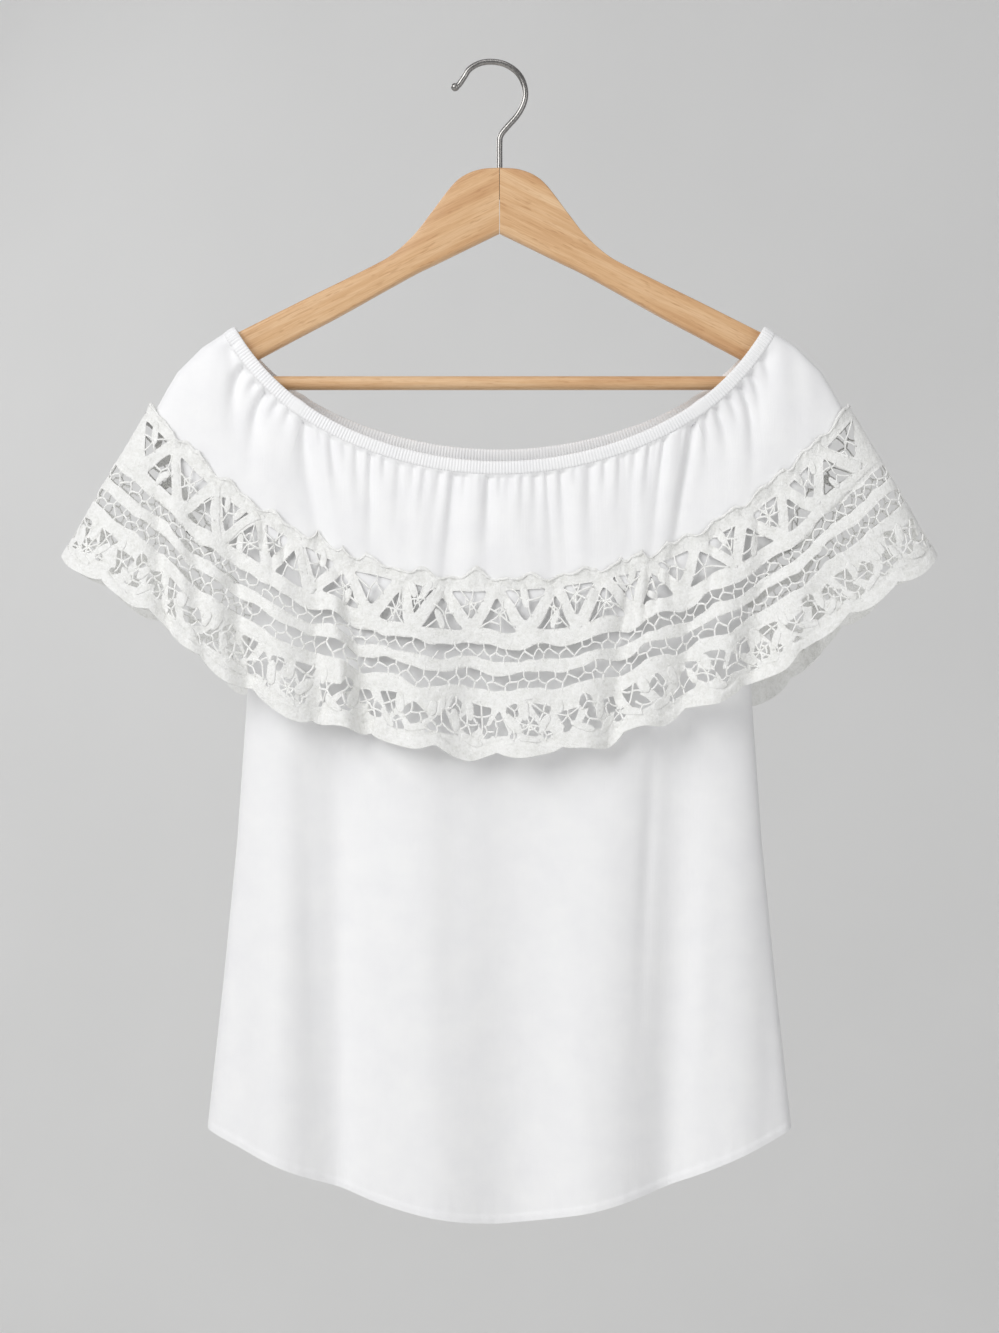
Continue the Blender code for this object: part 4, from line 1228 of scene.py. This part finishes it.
def strip(half, pile, places, half_width, thickness, corners=8, lift=0.0):
    """Closed flat ribbons or threads laid on the flounce.

    places is (shapes, n, 2): middle lines as along and down, in millimetres of the flat lace. The
    section is a flattened loop of the given number of corners, half_width to each side of the line.
    """
    shapes, n = places.shape[:2]
    forward = np.gradient(places, axis=1)
    forward /= np.linalg.norm(forward, axis=-1, keepdims=True) + 1e-9
    sideways = np.stack([-forward[..., 1], forward[..., 0]], axis=-1)
    top = np.sin(0.5 * math.pi * np.linspace(-1.0, 1.0, corners // 2))
    bulge = (1.0 - 0.6 * np.abs(top) ** 5) if corners > 6 else np.array([0.15, 1.0, 0.15])
    across = np.concatenate([top, top[::-1]])
    height = np.concatenate([bulge, -bulge[::-1]])
    half_width = np.broadcast_to(half_width, (shapes, n))
    lift = np.broadcast_to(lift, (shapes, n))
    flat = places[:, :, None] + sideways[:, :, None] * (half_width[..., None] * across)[..., None]
    along = np.clip(flat[..., 0], 0.02, LACE_HALF_LENGTH - 0.02)
    down = np.clip(flat[..., 1], 0.0, lace_edge(along))
    relief = CRINKLE * crinkle(half, along, down) if corners > 6 else 0.0
    points = on_lace(half, along, down, lift[..., None] + 0.5 * thickness * height + relief)
    faces = grid_faces(n, corners, close_columns=True)
    first = np.arange(corners // 2 - 1)
    cap = np.stack([first, first + 1, corners - 2 - first, corners - 1 - first], -1)
    faces = np.concatenate([faces, cap, cap[:, ::-1] + (n - 1) * corners])
    if half["sign"] < 0:
        faces = faces[:, ::-1]
    pile.add(points.reshape(shapes, n * corners, 3), faces)


def bent_lines(start, end, sag, count):
    """Lines (shapes, count, 2) from start to end, each bowed sideways by its own sag."""
    t = np.linspace(0.0, 1.0, count)[None, :, None]
    chord = end - start
    side = np.stack([-chord[:, 1], chord[:, 0]], axis=-1)
    side /= np.linalg.norm(side, axis=-1, keepdims=True) + 1e-9
    bow = 4.0 * t * (1.0 - t) * np.asarray(sag)[:, None, None]
    return start[:, None] + chord[:, None] * t + side[:, None] * bow


def ruffle(half, pile):
    """Frilled edge of the header: a narrow rolled ribbon that wavers a little off the lace."""
    along = np.linspace(0.0, LACE_HALF_LENGTH, 560)
    line = 1.2 + 0.8 * uneven_wave(FRILL, along)
    wave = 0.7 + 0.7 * uneven_wave(FRILL, 1.7 * along + 15.0)
    width = 1.0 + 0.5 * uneven_wave(FRILL, 0.6 * along + 30.0)
    strip(half, pile, np.stack([along, line], -1)[None], width[None], 1.1, 8, wave[None])


def long_tapes(half, pile):
    """The woven tapes along the strip and round its scalloped edge, with slightly uneven widths."""
    along = np.linspace(0.0, LACE_HALF_LENGTH, 360)
    lines = [(np.full(360, middle), width) for middle, width in TAPES]
    lines.append((lace_edge(along) - 0.5 * EDGE_WIDTH, EDGE_WIDTH))
    for number, (down, width) in enumerate(lines):
        down = down + 0.7 * uneven_wave(NET_WANDER, along + 50.0 * number)
        uneven = 0.5 * width - 0.3 + 0.6 * uneven_wave(NET_WANDER, 1.2 * along + 90.0 * number)
        strip(half, pile, np.stack([along, down], -1)[None], uneven[None], 0.6, 10, 0.4)


FRILL = ripple(12, 7, 0.2, 0.75)


def diagonals(half, pile, upper, lower, rng):
    """The broad woven tape that runs up and down through the upper band, one uneven V for each scallop."""
    start = np.concatenate([upper[:-1], upper[1:]]) - (0.0, 2.0)
    end = np.concatenate([lower, lower]) + (0.0, 2.5)
    chosen = rng.uniform(0.0, 1.0, len(start)) < 0.8
    bow = rng.uniform(-3.6, 3.6, len(start))
    lines = bent_lines(start, end, bow, 20)[chosen]
    count = len(lines)
    waver = uneven_wave(NET_WANDER, 1.4 * lines[..., 0] + lines[..., 1])
    width = rng.uniform(3.2, 5.0, (count, 1)) + 1.3 * waver
    strip(half, pile, lines, width, 0.5, 10, rng.uniform(0.1, 0.4, (count, 1)))


def petals(half, pile, rng):
    """Broad woven petals between the holes, wide in the middle and rounded at both ends."""
    rows = []
    for number in range(SCALLOPS + 1):
        for along, down, length, width, turn in PETALS[number % len(PETALS)]:
            centre = np.array([number * HALF_MOTIF + along, down]) + rng.uniform(-1.5, 1.5, 2)
            angle = math.radians(turn + rng.uniform(-14.0, 14.0))
            reach = 0.5 * length * rng.uniform(0.85, 1.15) * np.array([math.cos(angle), math.sin(angle)])
            rows.append((centre - reach, centre + reach, 0.5 * width * rng.uniform(0.85, 1.15)))
    inside = [row for row in rows if 6.0 < row[0][0] < LACE_HALF_LENGTH - 6.0]
    start, end = np.array([row[0] for row in inside]), np.array([row[1] for row in inside])
    wide = np.array([row[2] for row in inside])[:, None]
    lines = bent_lines(start, end, rng.uniform(-1.8, 1.8, len(inside)), 13)
    t = np.linspace(-1.0, 1.0, 13)[None]
    shape = np.sqrt(np.clip(1.0 - np.abs(t) ** 2.6, 0.0, 1.0)) + 0.03
    strip(half, pile, lines, wide * shape, 0.6, 10, rng.uniform(0.35, 0.75, (len(inside), 1)))


def threads(half, pile, start, end, sag, count=5, radius=THREAD_RADIUS):
    strip(half, pile, bent_lines(start, end, sag, count), radius, 2.0 * radius, 6, THREAD_LIFT)


def spokes(half, pile, found, rng):
    """Threads of each hole from its hubs to its sides.

    One hub makes a web with a knot, and in the larger ones chords between neighbouring threads. Two
    hubs, joined by a thread, make a forked net.
    """
    start, end, knots = [], [], []
    for centre, side, distance, count, hubs in found:
        if not 4.0 < centre[0] < LACE_HALF_LENGTH - 4.0 or count == 0:
            continue
        hub = centre + rng.uniform(-0.3, 0.3, 2) * distance.min()
        angle = rng.uniform(0.0, 6.3) + np.arange(count) * 2.0 * math.pi / count
        angle = angle + rng.uniform(-0.22, 0.22, count)
        way = np.stack([np.cos(angle), np.sin(angle)], -1)
        toward = np.maximum(way @ side.T, 1e-3)
        room = distance[None] - (hub - centre) @ side.T
        far = hub + way * ((room / toward).min(axis=1) + 1.3)[:, None]
        split = rng.uniform(0.0, 6.3)
        apart = 0.4 * distance.mean() * (hubs - 1) * np.array([math.cos(split), math.sin(split)])
        near = hub + np.sign(way @ apart)[:, None] * apart
        start.append(near)
        end.append(far)
        if hubs == 2:
            start.append(hub[None] + apart)
            end.append(hub[None] - apart)
        elif count > 4:
            knots.append(hub)
        if hubs == 1 and count > 5:
            ring = hub + (far - hub) * rng.uniform(0.42, 0.6, (count, 1))
            kept = rng.uniform(0.0, 1.0, count) < 0.45
            start.append(ring[kept])
            end.append(np.roll(ring, -1, axis=0)[kept])
    start, end, knots = np.concatenate(start), np.concatenate(end), np.array(knots)
    threads(half, pile, start, end, rng.uniform(-1.1, 1.1, len(start)))
    turn = np.linspace(0.0, 2.0 * math.pi, 9)
    knot = knots[:, None] + 0.9 * np.stack([np.cos(turn), np.sin(turn)], -1)[None]
    strip(half, pile, knot, 0.8, 1.5, 6, THREAD_LIFT)


def net(half, pile, band, rng):
    """Irregular hexagon net between two tapes: stems from above fork to knots on stems from below."""
    top, low = band[0] - 2.0, band[1] + 2.0
    count = int(LACE_HALF_LENGTH / NET_PITCH) + 1
    place = np.arange(count) * NET_PITCH
    middle = 0.5 * (top + low)
    upper = np.stack([place + rng.uniform(-2.2, 2.2, count), middle - 1.6 + rng.uniform(-1.6, 1.6, count)], -1)
    lower_place = place + 0.5 * NET_PITCH + rng.uniform(-2.0, 2.0, count)
    lower = np.stack([lower_place, middle + 2.6 + rng.uniform(-1.8, 1.6, count)], -1)
    stem_top = np.stack([upper[:, 0] + rng.uniform(-2.2, 2.2, count), np.full(count, top)], -1)
    stem_low = np.stack([lower[:, 0] + rng.uniform(-2.2, 2.2, count), np.full(count, low)], -1)
    start = np.concatenate([stem_top, lower, upper, upper[1:]])
    end = np.concatenate([upper, stem_low, lower, lower[:-1]])
    inside = (start[:, 0] > 0.0) & (end[:, 0] > 0.0)
    inside &= (start[:, 0] < LACE_HALF_LENGTH) & (end[:, 0] < LACE_HALF_LENGTH)
    inside &= rng.uniform(0.0, 1.0, len(inside)) > 0.03
    threads(half, pile, start[inside], end[inside], rng.uniform(-1.0, 1.0, inside.sum()), 5)


def flounce(half, cotton, yarn):
    """One half of the lace: its cut cloth, the tapes and petals laid on it, and the threads in its holes."""
    rng = np.random.default_rng(half["seed"])
    upper, lower = zigzag(rng)
    found = lace_openings(upper, lower, rng)
    cloth = cut_lace(half, found, cotton)
    laid, thread = Pile(), Pile()
    ruffle(half, laid)
    diagonals(half, laid, upper, lower, rng)
    long_tapes(half, laid)
    petals(half, laid, rng)
    spokes(half, thread, found, rng)
    for band in NETS:
        net(half, thread, band, rng)
    over = laid.make(f"lace_{half['name']}_tapes", cotton, "white_cotton_lace")
    fine = thread.make(f"lace_{half['name']}_threads", yarn, "white_cotton_lace")
    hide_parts(f"lace_{half['name']}")
    return cloth, over, fine


# Hanger


def smooth_line(points, steps):
    """Catmull-Rom curve through the points, with this many steps between each two."""
    knots = np.array(points)
    padded = np.concatenate([2.0 * knots[:1] - knots[1:2], knots, 2.0 * knots[-1:] - knots[-2:-1]])
    t = np.linspace(0.0, 1.0, steps, endpoint=False)[:, None]
    spans = []
    for before, start, end, after in zip(padded, padded[1:], padded[2:], padded[3:]):
        linear = end - before
        square = 2.0 * before - 5.0 * start + 4.0 * end - after
        cube = 3.0 * start - before - 3.0 * end + after
        spans.append(0.5 * (2.0 * start + linear * t + square * t**2 + cube * t**3))
    return np.concatenate(spans + [knots[-1:]])


def capped(points, closed_faces):
    """Adds a fan of triangles to each end of a (rows, columns, 3) tube, round its middle point."""
    rows, columns = points.shape[:2]
    flat = points.reshape(-1, 3)
    middles = np.stack([points[0].mean(axis=0), points[-1].mean(axis=0)])
    ring = np.arange(columns)
    after = (ring + 1) % columns
    first = np.stack([after, ring, np.full(columns, rows * columns)], -1)
    last_row = (rows - 1) * columns
    last = np.stack([ring + last_row, after + last_row, np.full(columns, rows * columns + 1)], -1)
    return np.concatenate([flat, middles]), [closed_faces, first, last]


def wooden_arm(name, side, node, finish):
    """Half of the wooden body.

    Columns run from the glue line in the middle to the arm's end, between the upper and the lower
    outline. Each section is a rounded rectangle from one outline to the other, 12 mm thick, rounder
    at its lower edges.
    """
    upper = smooth_line(ARM_UPPER, 8)
    lower = smooth_line(ARM_LOWER, 8)
    span = lower - upper
    height = np.linalg.norm(span, axis=1)
    span /= height[:, None]
    deep = 0.5 * WOOD_THICKNESS
    pieces = []
    for at_lower, back, start in ((0, 1, 90), (0, 0, 180), (1, 0, 270), (1, 1, 0)):
        corner = np.minimum(4.6 if at_lower else 2.6, 0.45 * height)
        angle = np.radians(start + np.linspace(0.0, 90.0, 7))
        centre = np.where(at_lower, height - corner, corner)[:, None]
        inward = centre + corner[:, None] * np.cos(angle)[None]
        y = (deep - corner[:, None]) * (1.0 if back else -1.0) + corner[:, None] * np.sin(angle)[None]
        pieces.append(np.stack([inward, y], -1))
    section = np.concatenate(pieces, axis=1)
    plane = upper[:, None] + span[:, None] * section[..., :1]
    points = np.stack([side * plane[..., 0], section[..., 1], plane[..., 1]], -1)
    points, faces = capped(points, grid_faces(len(upper), section.shape[1], close_columns=True))
    faces = [face[:, ::-1] for face in faces] if side > 0 else faces
    made = object_from(name, points, faces, finish)
    made.data.set_sharp_from_angle(angle=math.radians(50.0))
    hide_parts(node)
    return made


def tube(name, line, radius, sides, node, finish):
    """A round tube whose radius may change along a line in the XZ plane."""
    forward = np.gradient(line, axis=0)
    forward /= np.linalg.norm(forward, axis=1, keepdims=True)
    turn = np.linspace(0.0, 2.0 * math.pi, sides, endpoint=False)
    aside = np.cos(turn)[None] * radius[:, None]
    depth = np.sin(turn)[None] * radius[:, None]
    x = line[:, :1] - forward[:, 1:] * aside
    z = line[:, 1:] + forward[:, :1] * aside
    points = np.stack([x, depth, z], -1)
    points, faces = capped(points, grid_faces(len(line), sides, close_columns=True))
    made = object_from(name, points, faces, finish)
    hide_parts(node)
    return made


def hook(finish):
    """The bent wire. Its radius is the wire's, or near the tip that of a ball, whichever is larger."""
    line = smooth_line(HOOK_LINE, 10)
    steps = np.linalg.norm(np.diff(line, axis=0), axis=1)
    length = np.concatenate(([0.0], np.cumsum(steps)))
    ball = np.sqrt(np.clip(WIRE_TIP_RADIUS**2 - (length - WIRE_TIP_RADIUS) ** 2, 0.0, None))
    wire = np.where(length > WIRE_TIP_RADIUS, WIRE_RADIUS, 0.0)
    radius = np.maximum(np.maximum(ball, wire), 0.05)
    return tube("hook", line, radius, 24, "hanger_hook", finish)


def bar(finish):
    low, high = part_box("hanger_bar")
    half_length, radius = high[0] / MM, 0.5 * (high[2] - low[2]) / MM
    x = np.linspace(-half_length, half_length, 60)
    line = np.stack([x, np.full(60, BAR_Z)], -1)
    return tube("bar", line, np.full(60, radius), 36, "hanger_bar", finish)


# Room


def stage_plane(name, corners, finish):
    mesh = bpy.data.meshes.new(name)
    mesh.from_pydata([tuple(m * MM for m in corner) for corner in corners], [], [(0, 1, 2, 3)])
    mesh.materials.append(finish)
    made = bpy.data.objects.new(name, mesh)
    bpy.context.scene.collection.objects.link(made)
    return made


def room(finish):
    """A floor far below the top, and a wall behind it and behind the camera of views from the back."""
    near = ((-ROOM_REACH, -ROOM_REACH, FLOOR_Z), (ROOM_REACH, -ROOM_REACH, FLOOR_Z))
    far = ((ROOM_REACH, WALL_Y, FLOOR_Z), (-ROOM_REACH, WALL_Y, FLOOR_Z))
    high = ((ROOM_REACH, WALL_Y, WALL_TOP_Z), (-ROOM_REACH, WALL_Y, WALL_TOP_Z))
    stage_plane("floor", near + far, finish)
    stage_plane("wall", far[::-1] + high, finish)


def area_light(name, place, size, power):
    """A soft lamp of this size at this place, in millimetres, turned to the middle of the top."""
    data = bpy.data.lights.new(name, "AREA")
    data.shape = "RECTANGLE"
    data.size, data.size_y = size[0] * MM, size[1] * MM
    data.energy = power
    made = bpy.data.objects.new(name, data)
    bpy.context.scene.collection.objects.link(made)
    made.location = [m * MM for m in place]
    made.visible_camera = False
    aim = np.array([0.0, 0.0, CAMERA_Z]) - np.array(place)
    pitch = math.atan2(math.hypot(aim[0], aim[1]), -aim[2])
    made.rotation_euler = (pitch, 0.0, math.atan2(-aim[0], aim[1]))
    return made


def lights():
    world = bpy.data.worlds.new("studio")
    bpy.context.scene.world = world
    world.use_nodes = True
    background = world.node_tree.nodes["Background"]
    background.inputs["Color"].default_value = hex_colour("F3F3F5")
    background.inputs["Strength"].default_value = 0.35
    for lamp in LAMPS:
        area_light(*lamp)


def camera():
    data = bpy.data.cameras.new("camera")
    made = bpy.data.objects.new("camera", data)
    bpy.context.scene.collection.objects.link(made)
    width, height = PHOTO_SIZE
    centre_x = (0.5 * width - PHOTO_ORIGIN[0]) * PHOTO_SCALE
    centre_z = (PHOTO_ORIGIN[1] - 0.5 * height) * PHOTO_SCALE
    data.sensor_width = SENSOR
    data.lens = SENSOR * CAMERA_DISTANCE / (height * PHOTO_SCALE)
    data.clip_end = 50.0
    made.location = (centre_x * MM, -CAMERA_DISTANCE * MM, centre_z * MM)
    made.rotation_euler = (math.pi / 2.0, 0.0, 0.0)
    bpy.context.scene.camera = made
    bpy.context.scene.view_settings.view_transform = "Standard"


def main():
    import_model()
    camera()
    lights()
    room(studio_paper())
    viscose = woven_viscose()
    cotton = cotton_tape("felted_cotton_tape", "FAFAF8", "ECECE8")
    yarn = cotton_tape("cotton_yarn", "FAFAF8", "F4F4F0", 0.2)
    for side, word in ((-1.0, "left"), (1.0, "right")):
        beech = lacquered_beech(f"lacquered_beech_{word}", -side * ARM_TILT)
        wooden_arm(f"arm_{word}", side, f"hanger_{word}_arm", beech)
    bar(lacquered_beech("lacquered_beech_bar", 0.0))
    hook(drawn_steel())
    casing = neck_casing(viscose)
    front, back = body_panel(FRONT, viscose), body_panel(BACK, viscose)
    left = sleeve("sleeve_cap_left", -1.0, "left_sleeve", viscose)
    right = sleeve("sleeve_cap_right", 1.0, "right_sleeve", viscose)
    for half in (FRONT, BACK):
        solid, over, fine = flounce(half, cotton, yarn)


main()
